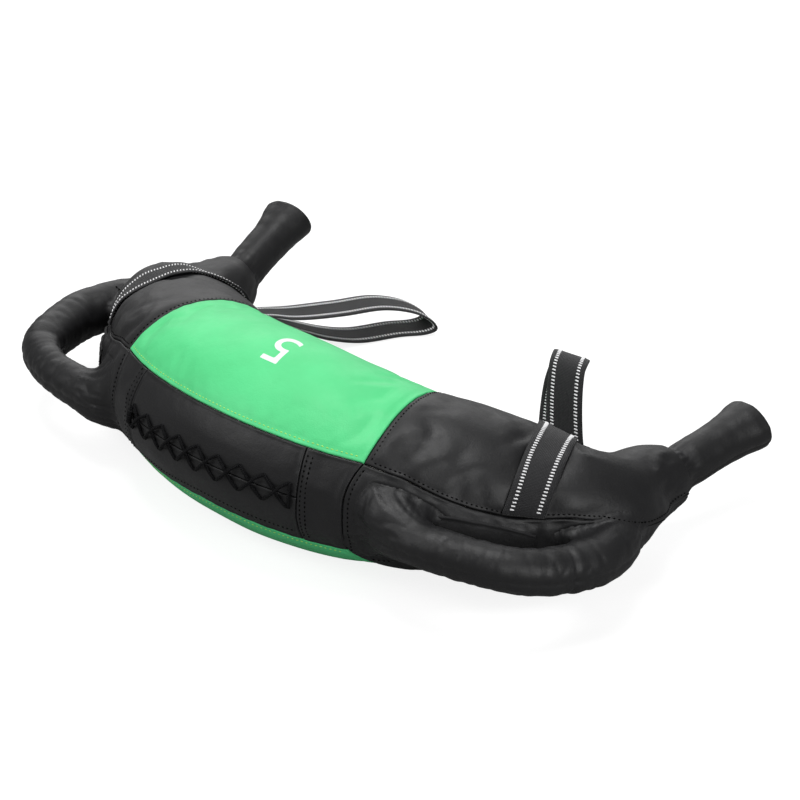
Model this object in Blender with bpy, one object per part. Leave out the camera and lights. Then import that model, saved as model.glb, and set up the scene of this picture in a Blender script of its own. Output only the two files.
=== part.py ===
"""A bulgarian bag: a crescent of leather-like panels filled with sand and fibre.

Metres, +Z up. +X runs to the right along the crescent's chord, -Y is the laced convex side
and +Y the hollow side with the two horn grips. The origin is on the flat patch of the
underside that the bag lies on. Places on the cover are given by s, the distance along the
crescent's middle line, and t, the angle round its section: 0 at the front, a quarter turn
at the top, half a turn at the back.
"""

import math

import bpy
import numpy as np

# Crescent
END_REACH = 0.226
END_SWEEP = 0.177
HALF_DEPTH = 0.078
HALF_HEIGHT = 0.0715
BELLY_SINK = 0.003
END_LIFT = 0.026
TUCK_POWER = 1.18
TUCK_FADE_SHARE = 0.25
# reach, sweep, front depth, back depth, half height, lift
STATION_SHARES = (
    (0.000, 0.000, 1.000, 1.000, 1.000, 0.00),
    (0.172, 0.018, 0.990, 0.990, 0.985, 0.00),
    (0.341, 0.073, 0.965, 0.965, 0.935, 0.05),
    (0.500, 0.160, 0.905, 0.920, 0.870, 0.12),
    (0.650, 0.271, 0.790, 0.860, 0.800, 0.20),
    (0.796, 0.409, 0.700, 0.770, 0.710, 0.27),
    (0.920, 0.537, 0.635, 0.665, 0.635, 0.37),
    (0.973, 0.680, 0.590, 0.600, 0.570, 0.47),
    (0.985, 0.850, 0.380, 0.430, 0.420, 0.72),
    (1.000, 1.000, 0.288, 0.288, 0.314, 1.00),
)
TABLE_STEPS = 40
SLOPE_STEP_SHARE = 0.0003

# Cover panels
SKIN = 0.002
SEAM_GAP = 0.0010
FIT_GAP = 0.0004
LAYER_GAP = 0.0016
TRIM_GAP = 0.0008
PANEL_STEP = 0.021
PANEL_TURN_STEP = 0.24
END_COLUMNS = 14
GREEN_HALF_LENGTH = 0.100
GREEN_SLANT = 0.0166
LACED_HALF_LENGTH = 0.066
FRONT_PANEL_END = 0.092
FRONT_PANEL_FLARE = 0.008
FLARE_START_ANGLE = 0.20
BACK_SEAM_ANGLE = math.pi + 0.75
# place along the half length, angle
TOP_SEAM_PLACE_SHARES = (0.0, 0.31, 0.39, 0.46, 0.52, 0.58, 0.65, 0.71, 0.75, 0.80, 0.88, 1.0)
TOP_SEAM_ANGLES = (0.70, 0.70, 0.63, 0.47, 0.37, 0.32, 0.33, 0.38, 0.33, 0.10, -0.08, -0.15)
LOW_SEAM_PLACE_SHARES = (0.0, 0.30, 0.62, 1.0)
LOW_SEAM_ANGLES = (-0.42, -0.52, -0.72, -0.95)

# Lacing
LACE_RADIUS = 0.0012
LACE_COLUMNS = 9
LACE_MARGIN = 0.005
LACE_HALF_SPAN = LACED_HALF_LENGTH - LACE_MARGIN
LACE_CLEARANCE = 0.0009
LACE_UPPER_ANGLE = 0.31
LACE_LOWER_ANGLE = 0.04
LACE_SLIT_ANGLE = 0.175
LACE_SIDES = 6
LACE_TURN_ANGLE = 0.87
LACE_FLAT_RUN_SHARES = (0.30, 0.70)
LACE_HUMP_RUN_SHARES = (0.22, 0.40, 0.60, 0.78)
LACE_HUMP_RISE_SHARE = 1.7
LACE_HOLE_CLEARANCE = 0.0010
TONGUE_THICKNESS = 0.0012
TONGUE_MARGIN_ANGLE = 0.10
TONGUE_MARGIN = 0.0025
TONGUE_HALF_LENGTH = LACED_HALF_LENGTH - TONGUE_MARGIN
KNOT_RADIUS = 0.0021
KNOT_LENGTH = 0.011
KNOT_SHARES = (0.62, 0.92, 1.0, 0.92, 0.62)

# Filling
PADDING_THICKNESS = 0.0070
PADDING_END = 0.245
PADDING_EDGE_ANGLE = 0.62
PADDING_COLUMNS = 20
PADDING_ROWS = 17
BAG_TRIM = 0.0010
CENTRE_BAG_HALF_LENGTH = 0.088
SIDE_BAG_END = 0.212
FIBRE_END = 0.268
BAG_GAP = 0.0008
BAG_END_ROUND = 0.014

# Side handles
HANDLE_RADIUS = 0.0155
HANDLE_SKIN = 0.0016
HANDLE_STANDS = {"left": 0.053, "right": 0.048}
HANDLE_HEIGHTS = {"left": 0.053, "right": 0.063}
HANDLE_SIDES = 12
HANDLE_RINGS = 16
# place along the half length, then shares of stand, height and radius
HANDLE_SHARES = {
    "left": (
        (0.343, -0.39, 0.95, 1.25),
        (0.378, 0.02, 0.97, 1.20),
        (0.445, 0.40, 0.99, 1.06),
        (0.515, 0.74, 1.00, 1.00),
        (0.590, 0.93, 1.00, 1.06),
        (0.655, 0.90, 1.00, 1.16),
        (0.700, 0.71, 0.99, 1.23),
        (0.735, 0.42, 0.98, 1.27),
        (0.768, 0.02, 0.96, 1.30),
        (0.785, -0.35, 0.94, 1.35),
    ),
    "right": (
        (0.343, -0.39, 0.97, 1.20),
        (0.379, -0.01, 0.99, 1.14),
        (0.433, 0.37, 1.00, 1.04),
        (0.505, 0.71, 0.99, 1.00),
        (0.582, 0.93, 0.96, 1.00),
        (0.655, 0.92, 0.91, 1.04),
        (0.700, 0.74, 0.86, 1.09),
        (0.732, 0.45, 0.81, 1.14),
        (0.760, 0.04, 0.76, 1.19),
        (0.775, -0.35, 0.72, 1.25),
    ),
}
GUSSET_THICKNESS = 0.0012
GUSSET_HEIGHT = 0.022
GUSSET_FRONT_HEIGHT = 0.010
GUSSET_POINTS = 32
SLOT_END_SHARES = {"left": (0.485, 0.660), "right": (0.455, 0.665)}
SLOT_WALL_GAP = 0.0005
SLOT_HANDLE_GAP = 0.0010
SLOT_END_HALF_WIDTH = 0.0024
SLOT_ROUND_POWER = 0.7
SLOT_TRIALS = 90

# Horn grips
HORN_LENGTH = 0.085
HORN_HEADING_ANGLE = 1.41
HORN_RISE_ANGLES = {"left": 0.34, "right": 0.16}
HORN_GRIP_SHARE = 0.8463
HORN_TIP_WIDENING = 0.0057
HORN_TIP_DEEPENING = 0.0012
HORN_SKIN = 0.0016
HORN_BALL_CLEARANCE = 0.0006
HORN_BALL_BACK_ANGLE = 0.42
HORN_CAP_THICKNESS = 0.0018
HORN_CAP_CROWN = 0.003
HORN_CAP_TOP_SHARE = 0.6
HORN_SIDES = 16
# place along the horn, how far the section has flared from grip to tip
HORN_FLARE_SHARES = ((0.20, 0.0), (0.45, 0.0), (0.66, 0.15), (0.80, 0.50), (0.91, 0.90), (1.00, 1.0))

# Straps
STRAP_WIDTH = 0.030
STRAP_THICKNESS = 0.0016
STRAP_PLACE = 0.198
STRAP_SLANT = 0.014
STRAP_START_ANGLE = 0.36
STRAP_EXIT_ANGLE = 3.018
STRAP_LOW_START_ANGLE = 0.60
STRAP_LOW_EXIT_ANGLE = 3.144
STRAP_GAP = 0.0012
STRAP_TURN_STEP = 0.16
STRAP_LIFT_ANGLE = 1.65
STRAP_TRIALS = 15
STRAP_COLUMNS = 3
LOOP_ROOT_ANGLE = 3.08
LOOP_STAND = 0.0022
LOOP_AXIS_OUT = 0.0006
LOOP_AXIS_RISE = 0.0022
LOOP_STEPS = 3
LOOP_TWIST_SHARE = 0.22
LOOP_WIDTH_HEADINGS = {"left": -0.36, "right": 0.13}
# how each loop lies: right, back and up from its hinge
LOOP_PATHS = {
    "left": (
        (0.000, 0.0005, 0.0012),
        (0.003, 0.020, -0.004),
        (0.009, 0.045, -0.012),
        (0.015, 0.090, -0.023),
        (0.026, 0.127, -0.028),
        (0.042, 0.151, -0.036),
        (0.057, 0.159, -0.046),
        (0.050, 0.152, -0.0522),
        (0.036, 0.134, -0.0525),
        (0.021, 0.105, -0.0520),
        (0.009, 0.081, -0.045),
        (0.003, 0.055, -0.031),
        (0.000, 0.024, -0.013),
        (0.000, 0.0005, -0.0012),
    ),
    "right": (
        (0.000, 0.0005, 0.0012),
        (-0.001, 0.0065, 0.0036),
        (-0.006, 0.010, 0.020),
        (-0.011, 0.015, 0.042),
        (-0.017, 0.024, 0.058),
        (-0.024, 0.037, 0.061),
        (-0.034, 0.052, 0.052),
        (-0.048, 0.066, 0.034),
        (-0.060, 0.073, 0.008),
        (-0.062, 0.071, -0.020),
        (-0.055, 0.061, -0.042),
        (-0.043, 0.046, -0.0515),
        (-0.028, 0.030, -0.0500),
        (-0.014, 0.016, -0.038),
        (-0.005, 0.011, -0.020),
        (-0.001, 0.0065, -0.0036),
        (0.000, 0.0005, -0.0012),
    ),
}

SIDES = {"left": -1, "right": 1}
SHARP_EDGE_ANGLE = 0.70

# Colours: red, green, blue, roughness
GREEN = (0.085, 0.66, 0.245, 0.45)
BLACK = (0.012, 0.012, 0.013, 0.42)
WEBBING = (0.010, 0.010, 0.011, 0.85)
LINING = (0.020, 0.020, 0.022, 0.90)
CORD = (0.008, 0.008, 0.009, 0.80)
FOAM = (0.55, 0.55, 0.52, 0.95)
SANDBAG = (0.62, 0.58, 0.48, 0.85)
FIBRE = (0.80, 0.79, 0.75, 0.95)


def clear_scene():
    for obj in list(bpy.data.objects):
        bpy.data.objects.remove(obj)


def material(name, colour):
    made = bpy.data.materials.new(name)
    made.use_nodes = True
    shader = made.node_tree.nodes["Principled BSDF"]
    shader.inputs["Base Color"].default_value = (*colour[:3], 1)
    shader.inputs["Roughness"].default_value = colour[3]
    shader.inputs["Metallic"].default_value = 0
    return made


# The crescent's surface


def mirrored_stations():
    """Rows of sizes from the left end to the right one."""
    sizes = (END_REACH, END_SWEEP, HALF_DEPTH, HALF_DEPTH, HALF_HEIGHT, END_LIFT)
    right = np.array(STATION_SHARES) * np.array(sizes)
    right[:, 5] -= BELLY_SINK
    left = right[:0:-1].copy()
    left[:, 0] *= -1
    return np.vstack([left, right])


def smooth(rows, place):
    """Value and slope of a Catmull-Rom curve through rows at fractional row numbers."""
    place = np.clip(np.asarray(place, float), 0, len(rows) - 1)
    whole = np.minimum(np.floor(place), len(rows) - 2).astype(int)
    part = (place - whole)[..., None]
    padded = np.vstack([2 * rows[0] - rows[1], rows, 2 * rows[-1] - rows[-2]])
    a, b, c, d = (padded[whole + k] for k in range(4))
    linear = c - a
    square = 2 * a - 5 * b + 4 * c - d
    cube = 3 * b - a - 3 * c + d
    value = (2 * b + linear * part + square * part**2 + cube * part**3) / 2
    slope = (linear + 2 * square * part + 3 * cube * part**2) / 2
    return value, slope


STATIONS = mirrored_stations()
PLACES = np.linspace(0, len(STATIONS) - 1, (len(STATIONS) - 1) * TABLE_STEPS + 1)


def distances():
    """Distance along the middle line of each of PLACES, from the middle of the bag."""
    line = smooth(STATIONS, PLACES)[0][:, :2]
    steps = np.hypot(*np.diff(line, axis=0).T)
    along = np.concatenate([[0], np.cumsum(steps)])
    return along - along[-1] / 2


ALONG = distances()
HALF_LENGTH = ALONG[-1]


def section(s):
    """Middle point, outward direction, front and back depth, half height and underside at s."""
    value, slope = smooth(STATIONS, np.interp(s, ALONG, PLACES))
    outward = np.stack([slope[..., 1], -slope[..., 0]], -1)
    outward /= np.linalg.norm(outward, axis=-1, keepdims=True)
    return value[..., :2], outward, value[..., 2], value[..., 3], value[..., 4], value[..., 5]


def cover_point(s, t, inset):
    """Point on the cover, or inset below it, never lower than inset above the ground."""
    s, t = np.broadcast_arrays(np.asarray(s, float), np.asarray(t, float))
    middle, outward, front, back, half, underside = section(s)
    fade = np.clip((1 - np.abs(s) / HALF_LENGTH) / TUCK_FADE_SHARE, 0, 1)
    tucked = (np.cos(t) > 0) & (np.sin(t) < 0)
    power = np.where(tucked, 1 + (TUCK_POWER - 1) * fade, 1.0)
    across = np.sign(np.cos(t)) * np.abs(np.cos(t)) ** power
    upward = np.sign(np.sin(t)) * np.abs(np.sin(t)) ** power
    depth = np.where(np.cos(t) > 0, front, back) - inset
    level = underside + half + (half - inset) * upward
    plan = middle + outward * (depth * across)[..., None]
    return np.concatenate([plan, np.maximum(level, inset)[..., None]], -1)


def outward_normal(s, t):
    """Unit normal of the cover at s and t."""
    step = SLOPE_STEP_SHARE
    reach = step * HALF_LENGTH
    along = cover_point(s + reach, t, 0) - cover_point(s - reach, t, 0)
    upward = cover_point(s, t + step, 0) - cover_point(s, t - step, 0)
    normal = np.cross(along, upward)
    return normal / np.linalg.norm(normal, axis=-1, keepdims=True)


def top_seam(s):
    return np.interp(np.abs(s) / HALF_LENGTH, TOP_SEAM_PLACE_SHARES, TOP_SEAM_ANGLES)


def low_seam(s):
    return np.interp(np.abs(s) / HALF_LENGTH, LOW_SEAM_PLACE_SHARES, LOW_SEAM_ANGLES)


def half_gap_angle(s):
    """Half a seam's gap as an angle round the section at s."""
    return SEAM_GAP / 2 / section(np.asarray(s, float))[4]


def green_top_edge(t):
    return GREEN_HALF_LENGTH + GREEN_SLANT * (t - TOP_SEAM_ANGLES[0])


def green_low_edge(t):
    """From the top panel's edge at the back seam to the front panel's edge at the front."""
    start = BACK_SEAM_ANGLE - 2 * math.pi
    at_back = green_top_edge(BACK_SEAM_ANGLE)
    return np.interp(t, (start, LOW_SEAM_ANGLES[1]), (at_back, FRONT_PANEL_END))


def front_panel_edge(t):
    rise = np.clip((t - FLARE_START_ANGLE) / (TOP_SEAM_ANGLES[0] - FLARE_START_ANGLE), 0, 1)
    return FRONT_PANEL_END + FRONT_PANEL_FLARE * rise**2


# Meshes


def mesh_object(name, points, faces, surface, location=(0, 0, 0)):
    """Object with outward faces, its mesh placed relative to location."""
    mesh = bpy.data.meshes.new(name)
    places = np.asarray(points, float) - np.asarray(location, float)
    mesh.from_pydata([tuple(p) for p in places], [], [tuple(f) for f in faces])
    mesh.update()
    if signed_volume(places, faces) < 0:
        mesh.flip_normals()
    mesh.shade_smooth()
    mesh.set_sharp_from_angle(angle=SHARP_EDGE_ANGLE)
    mesh.materials.append(surface)
    obj = bpy.data.objects.new(name, mesh)
    obj.location = location
    bpy.context.scene.collection.objects.link(obj)
    return obj


def signed_volume(points, faces):
    total = 0.0
    for face in faces:
        a = points[face[0]]
        for i in range(1, len(face) - 1):
            total += np.dot(a, np.cross(points[face[i]], points[face[i + 1]]))
    return total


def slab(name, outer, inner, surface, location=(0, 0, 0)):
    """Closed solid between two grids of the same size, with a rim round their edges."""
    columns, rows = outer.shape[:2]
    count = columns * rows

    def at(layer, i, j):
        return layer * count + i * rows + j

    faces = []
    for i in range(columns - 1):
        for j in range(rows - 1):
            faces.append([at(0, i, j), at(0, i + 1, j), at(0, i + 1, j + 1), at(0, i, j + 1)])
            faces.append([at(1, i, j), at(1, i, j + 1), at(1, i + 1, j + 1), at(1, i + 1, j)])
    for i in range(columns - 1):
        faces.append([at(0, i, 0), at(1, i, 0), at(1, i + 1, 0), at(0, i + 1, 0)])
        top = rows - 1
        faces.append([at(0, i, top), at(0, i + 1, top), at(1, i + 1, top), at(1, i, top)])
    for j in range(rows - 1):
        faces.append([at(0, 0, j), at(0, 0, j + 1), at(1, 0, j + 1), at(1, 0, j)])
        end = columns - 1
        faces.append([at(0, end, j), at(1, end, j), at(1, end, j + 1), at(0, end, j + 1)])
    points = np.vstack([outer.reshape(-1, 3), inner.reshape(-1, 3)])
    return mesh_object(name, points, faces, surface, location)


def ring_faces(rings, sides, first=0, turn=False):
    """Faces between rings of points that follow each other."""
    faces = []
    for i in range(rings - 1):
        for j in range(sides):
            k = (j + 1) % sides
            low, high = first + i * sides, first + (i + 1) * sides
            face = [low + j, low + k, high + k, high + j]
            faces.append(face[::-1] if turn else face)
    return faces


def solid_of_rings(name, rings, surface, location=(0, 0, 0)):
    """Closed solid through rings of points, its ends flat."""
    count, sides = rings.shape[:2]
    faces = ring_faces(count, sides)
    faces.append(list(range(sides))[::-1])
    faces.append(list(range((count - 1) * sides, count * sides)))
    return mesh_object(name, rings.reshape(-1, 3), faces, surface, location)


def sleeve_of_rings(name, outer, inner, surface, location=(0, 0, 0)):
    """Open-ended tube between two sets of rings."""
    count, sides = outer.shape[:2]
    inside = count * sides
    faces = ring_faces(count, sides)
    faces += ring_faces(count, sides, inside, True)
    for j in range(sides):
        k = (j + 1) % sides
        far = (count - 1) * sides
        faces.append([k, j, inside + j, inside + k])
        faces.append([far + j, far + k, inside + far + k, inside + far + j])
    points = np.vstack([outer.reshape(-1, 3), inner.reshape(-1, 3)])
    return mesh_object(name, points, faces, surface, location)


def band_of_outlines(name, outer, inner, base, heights, surface):
    """Upright closed band between two plan outlines, with a height at each point."""
    count = len(outer)
    layers = []
    for outline in (outer, inner):
        for level in (base + 0 * heights, base + heights):
            layers.append(np.column_stack([outline, level]))
    faces = []
    for j in range(count):
        k = (j + 1) % count
        faces.append([j, k, count + k, count + j])
        faces.append([2 * count + k, 2 * count + j, 3 * count + j, 3 * count + k])
        faces.append([k, j, 2 * count + j, 2 * count + k])
        faces.append([count + j, count + k, 3 * count + k, 3 * count + j])
    return mesh_object(name, np.vstack(layers), faces, surface)


def tube_rings(line, radii, sides, up=(0, 0, 1)):
    """Rings square to a line of points, carried along it without twisting."""
    tangents = np.gradient(line, axis=0)
    tangents /= np.linalg.norm(tangents, axis=1, keepdims=True)
    side = np.cross(tangents[0], up)
    rings = []
    angles = np.linspace(0, 2 * math.pi, sides, endpoint=False)
    for point, tangent, radius in zip(line, tangents, radii):
        side = side - tangent * np.dot(side, tangent)
        side = side / np.linalg.norm(side)
        lift = np.cross(side, tangent)
        ring = np.outer(np.cos(angles), side) + np.outer(np.sin(angles), lift)
        rings.append(point + radius * ring)
    return np.array(rings)


def helper(obj):
    """Keep a cutter out of the model."""
    obj.hide_render = True
    obj.display_type = "WIRE"
    return obj


def cut(obj, cutter):
    modifier = obj.modifiers.new(cutter.name, "BOOLEAN")
    modifier.operation = "DIFFERENCE"
    modifier.solver = "EXACT"
    modifier.object = cutter


# Cover panels


def patch(s_edges, t_edges, columns, rows, inset):
    """Grid of points on the cover between two edges along s and two along t."""
    u = np.linspace(0, 1, columns + 1)[:, None]
    v = np.linspace(0, 1, rows + 1)[None, :]
    s = np.zeros((columns + 1, rows + 1)) + s_edges[0](t_edges[0](0.0))
    for _ in range(12):
        t = t_edges[0](s) + v * (t_edges[1](s) - t_edges[0](s))
        s = s_edges[0](t) + u * (s_edges[1](t) - s_edges[0](t))
    return cover_point(s, t, inset)


def panel(name, s_edges, t_edges, surface, columns=0, turn_step=PANEL_TURN_STEP):
    """A sewn panel of the cover, kept half a seam's gap inside its edges."""
    gap = SEAM_GAP / 2
    inner_s = (lambda t: s_edges[0](t) + gap, lambda t: s_edges[1](t) - gap)
    inner_t = (
        lambda s: t_edges[0](s) + half_gap_angle(s),
        lambda s: t_edges[1](s) - half_gap_angle(s),
    )
    middle_t = (t_edges[0](0.0) + t_edges[1](0.0)) / 2
    middle_s = (s_edges[0](middle_t) + s_edges[1](middle_t)) / 2
    length = abs(s_edges[1](middle_t) - s_edges[0](middle_t))
    turn = abs(t_edges[1](middle_s) - t_edges[0](middle_s))
    columns = columns or max(2, round(float(length / PANEL_STEP)))
    rows = max(2, round(float(turn / turn_step)))
    outer = patch(inner_s, inner_t, columns, rows, 0)
    inner = patch(inner_s, inner_t, columns, rows, SKIN)
    return slab(name, outer, inner, surface)


def constant(value):
    return lambda other: value + 0 * np.asarray(other, float)


def mirrored(edges, side):
    """The same pair of edges along s on the bag's left or right half."""
    if side > 0:
        return edges
    return (lambda t: -edges[1](t), lambda t: -edges[0](t))


def back_seam(s):
    return BACK_SEAM_ANGLE + 0 * np.asarray(s, float)


def back_seam_below(s):
    return back_seam(s) - 2 * math.pi


def slit(s):
    return LACE_SLIT_ANGLE + 0 * np.asarray(s, float)


def make_centre_panels(green, black):
    across = (lambda t: -green_top_edge(t), green_top_edge)
    panel("top_centre_panel", across, (top_seam, back_seam), green)
    across = (lambda t: -green_low_edge(t), green_low_edge)
    panel("bottom_centre_panel", across, (back_seam_below, low_seam), green)
    laced = (constant(-LACED_HALF_LENGTH), constant(LACED_HALF_LENGTH))
    fine = PANEL_TURN_STEP / 2
    upper = panel("lacing_panel_upper", laced, (slit, top_seam), black, turn_step=fine)
    lower = panel("lacing_panel_lower", laced, (low_seam, slit), black, turn_step=fine)
    return upper, lower


def make_side_panels(name, side, black):
    end = constant(HALF_LENGTH)
    front = mirrored((constant(LACED_HALF_LENGTH), front_panel_edge), side)
    panel("front_panel_" + name, front, (low_seam, top_seam), black)
    outer = mirrored((front_panel_edge, end), side)
    panel("side_panel_" + name, outer, (low_seam, top_seam), black, END_COLUMNS)
    top = mirrored((green_top_edge, end), side)
    panel("end_top_panel_" + name, top, (top_seam, back_seam), black, END_COLUMNS)
    low = mirrored((green_low_edge, end), side)
    panel("end_bottom_panel_" + name, low, (back_seam_below, low_seam), black, END_COLUMNS)


# Lacing


def lace_columns():
    return np.linspace(-LACE_HALF_SPAN, LACE_HALF_SPAN, LACE_COLUMNS)


LACE_SHIFT = LACE_RADIUS + LACE_CLEARANCE
LACE_OVER = -(LACE_RADIUS + FIT_GAP)
LACE_UNDER = SKIN + LACE_CLEARANCE + LACE_RADIUS
LACE_LAYER = 2 * LACE_RADIUS + LACE_CLEARANCE


def lace_hole(upper, outer_first, s):
    """Three points of the turn through a hole, listed from outside in or inside out."""
    edge = 1 if upper else -1
    reach = (LACE_UNDER - LACE_OVER) / 2
    middle = (LACE_UNDER + LACE_OVER) / 2
    base = LACE_UPPER_ANGLE if upper else LACE_LOWER_ANGLE
    turn = edge * reach / HALF_HEIGHT
    points = []
    for angle in (-LACE_TURN_ANGLE, 0, LACE_TURN_ANGLE):
        t = base + turn * (math.cos(angle) - 1)
        points.append((s, t, middle + reach * math.sin(angle)))
    return points if outer_first else points[::-1]


def lace_run(start, finish, height, humps):
    """Points of a straight run between two holes, raised or lowered at its middle."""
    points = []
    for share in LACE_HUMP_RUN_SHARES if humps else LACE_FLAT_RUN_SHARES:
        s = start[0] + (finish[0] - start[0]) * share
        t = start[1] + (finish[1] - start[1]) * share
        centred = 1 - abs(2 * share - 1)
        lift = humps * min(1, centred * LACE_HUMP_RISE_SHARE)
        points.append((s, t, height + lift))
    return points


def lace_places():
    """The lace's route as s, t and depth: out by one diagonal of each cross, back by the other."""
    columns = lace_columns()
    shift, upper, lower = LACE_SHIFT, LACE_UPPER_ANGLE, LACE_LOWER_ANGLE
    knot_reach = (KNOT_LENGTH / 2 + FIT_GAP) / HALF_HEIGHT
    middle = (upper + lower) / 2
    first = columns[0]
    route = [(first - shift, middle - knot_reach, LACE_OVER)]
    route += lace_hole(False, True, first - shift)
    route += lace_run((first - shift, lower), (first + shift, upper), LACE_UNDER, 0)
    for here, there in zip(columns[:-1], columns[1:]):
        route += lace_hole(True, False, here + shift)
        route += lace_run((here + shift, upper), (there - shift, lower), LACE_OVER, 0)
        route += lace_hole(False, True, there - shift)
        route += lace_run((there - shift, lower), (there + shift, upper), LACE_UNDER, 0)
    last = columns[-1]
    route += lace_hole(True, False, last + shift)
    route += lace_run((last + shift, upper), (last + shift, lower), LACE_OVER, 0)
    route += lace_hole(False, True, last + shift)
    route += lace_run((last + shift, lower), (last - shift, upper), LACE_UNDER, LACE_LAYER)
    for here, there in zip(columns[:0:-1], columns[-2::-1]):
        route += lace_hole(True, False, here - shift)
        route += lace_run((here - shift, upper), (there + shift, lower), LACE_OVER, -LACE_LAYER)
        route += lace_hole(False, True, there + shift)
        route += lace_run((there + shift, lower), (there - shift, upper), LACE_UNDER, LACE_LAYER)
    route += lace_hole(True, False, first - shift)
    route.append((first - shift, middle + knot_reach, LACE_OVER))
    return np.array(route)


def make_lace(cord):
    route = lace_places()
    line = cover_point(route[:, 0], route[:, 1], 0)
    line = line - outward_normal(route[:, 0], route[:, 1]) * route[:, 2:3]
    rings = tube_rings(line, np.full(len(line), LACE_RADIUS), LACE_SIDES)
    solid_of_rings("lace", rings, cord)


def make_lace_knot(cord):
    """The tied bundle that joins the lace's two ends beside the first column."""
    s = -LACE_HALF_SPAN - LACE_SHIFT
    height = KNOT_RADIUS + FIT_GAP
    middle = (LACE_UPPER_ANGLE + LACE_LOWER_ANGLE) / 2
    reach = KNOT_LENGTH / 2 / HALF_HEIGHT
    t = np.linspace(middle - reach, middle + reach, len(KNOT_SHARES))
    line = cover_point(s, t, 0) + outward_normal(s + 0 * t, t) * height
    radii = KNOT_RADIUS * np.array(KNOT_SHARES)
    solid_of_rings("lace_knot", tube_rings(line, radii, LACE_SIDES + 2), cord)


def make_lace_holes(upper_panel, lower_panel):
    """Slots for the two strands that share each hole."""
    half_long = LACE_SHIFT + LACE_RADIUS + LACE_HOLE_CLEARANCE
    half_high = LACE_RADIUS + LACE_HOLE_CLEARANCE
    for upper, target in ((True, upper_panel), (False, lower_panel)):
        base = LACE_UPPER_ANGLE if upper else LACE_LOWER_ANGLE
        for number, s in enumerate(lace_columns()):
            row = "upper" if upper else "lower"
            cutter = lace_hole_cutter(f"lace_hole_{row}_{number}", s, base, half_long, half_high)
            cut(target, cutter)


def lace_hole_cutter(name, s, t, half_long, half_high):
    centre = cover_point(s, t, SKIN / 2)
    normal = outward_normal(s, t)
    along = cover_point(s + half_high, t, 0) - cover_point(s - half_high, t, 0)
    along = along / np.linalg.norm(along)
    upward = np.cross(normal, along)
    corners = []
    straight = half_long - half_high
    for k in range(8):
        angle = math.pi / 4 * (k + 0.5)
        x = math.cos(angle) * half_high + math.copysign(straight, math.cos(angle))
        corners.append(along * x + upward * math.sin(angle) * half_high)
    ring = np.array(corners)
    rings = np.array([centre + ring - normal * SKIN * 2, centre + ring + normal * SKIN * 2])
    return helper(solid_of_rings(name, rings, bpy.data.materials["lace cord"]))


def make_tongue(lining):
    """Strip of lining behind the lacing slit, under both layers of inner lace."""
    depth = LACE_UNDER + LACE_LAYER + LACE_RADIUS + LACE_CLEARANCE
    s_edges = (constant(-TONGUE_HALF_LENGTH), constant(TONGUE_HALF_LENGTH))
    t_edges = (
        constant(LACE_LOWER_ANGLE - TONGUE_MARGIN_ANGLE),
        constant(LACE_UPPER_ANGLE + TONGUE_MARGIN_ANGLE),
    )
    outer = patch(s_edges, t_edges, 8, 5, depth)
    inner = patch(s_edges, t_edges, 8, 5, depth + TONGUE_THICKNESS)
    slab("lace_tongue", outer, inner, lining)
    return depth + TONGUE_THICKNESS


# Filling


def make_padding(foam):
    """Foam wrapped round the filling, its two long edges apart behind the front panels."""
    depth = SKIN + LAYER_GAP
    s_edges = (constant(-PADDING_END), constant(PADDING_END))
    t_edges = (constant(PADDING_EDGE_ANGLE), constant(2 * math.pi - PADDING_EDGE_ANGLE))
    outer = patch(s_edges, t_edges, PADDING_COLUMNS, PADDING_ROWS, depth)
    inner = patch(s_edges, t_edges, PADDING_COLUMNS, PADDING_ROWS, depth + PADDING_THICKNESS)
    slab("padding_wrap", outer, inner, foam)
    return depth + PADDING_THICKNESS


def filling_angles():
    """Angles of the padding's own rows, and a few across the gap between its edges."""
    edge = PADDING_EDGE_ANGLE
    round_back = np.linspace(edge, 2 * math.pi - edge, PADDING_ROWS + 1)
    across_front = np.linspace(-edge, edge, 5)[1:-1]
    return np.concatenate([round_back, across_front])


def filling_bag(name, start, finish, depth, surface, rings=9):
    """Closed bag between two places along the crescent, with rounded ends."""
    angles = filling_angles()
    layers = []
    for u in np.linspace(0, 1, rings):
        s = start + (finish - start) * u
        to_end = min(s - start, finish - s)
        near = max(0.0, 1 - to_end / BAG_END_ROUND)
        shrink = BAG_END_ROUND * (1 - math.sqrt(max(0.0, 1 - near**2)))
        layers.append(cover_point(s, angles, depth + shrink))
    return solid_of_rings(name, np.array(layers), surface)


def make_filling(depth, sandbag, fibre):
    depth = depth + BAG_TRIM
    half = CENTRE_BAG_HALF_LENGTH
    filling_bag("sand_bag_centre", -half, half, depth, sandbag)
    for name, side in SIDES.items():
        inner, outer = half + BAG_GAP, SIDE_BAG_END
        ends = sorted((side * inner, side * outer))
        filling_bag("sand_bag_" + name, *ends, depth, sandbag)
        inner, outer = SIDE_BAG_END + BAG_GAP, FIBRE_END
        ends = sorted((side * inner, side * outer))
        loose = depth + LAYER_GAP
        filling_bag("end_stuffing_" + name, *ends, loose, fibre, rings=6)


# Side handles


def wall_place(s, stand, side, height):
    """Point at a distance out from the front wall of the crescent, at a height of its own."""
    point = cover_point(side * s, 0.0, -stand)
    point[2] = height
    return point


def handle_line(name, side, rings):
    """Points and radii along the middle of a side handle."""
    rows = []
    for place, stand, level, radius in HANDLE_SHARES[name]:
        stand = stand * HANDLE_STANDS[name]
        height = level * HANDLE_HEIGHTS[name]
        point = wall_place(place * HALF_LENGTH, stand, side, height)
        rows.append((*point, radius * HANDLE_RADIUS))
    line = smooth(np.array(rows), np.linspace(0, len(rows) - 1, rings))[0]
    return line[:, :3], line[:, 3]


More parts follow.
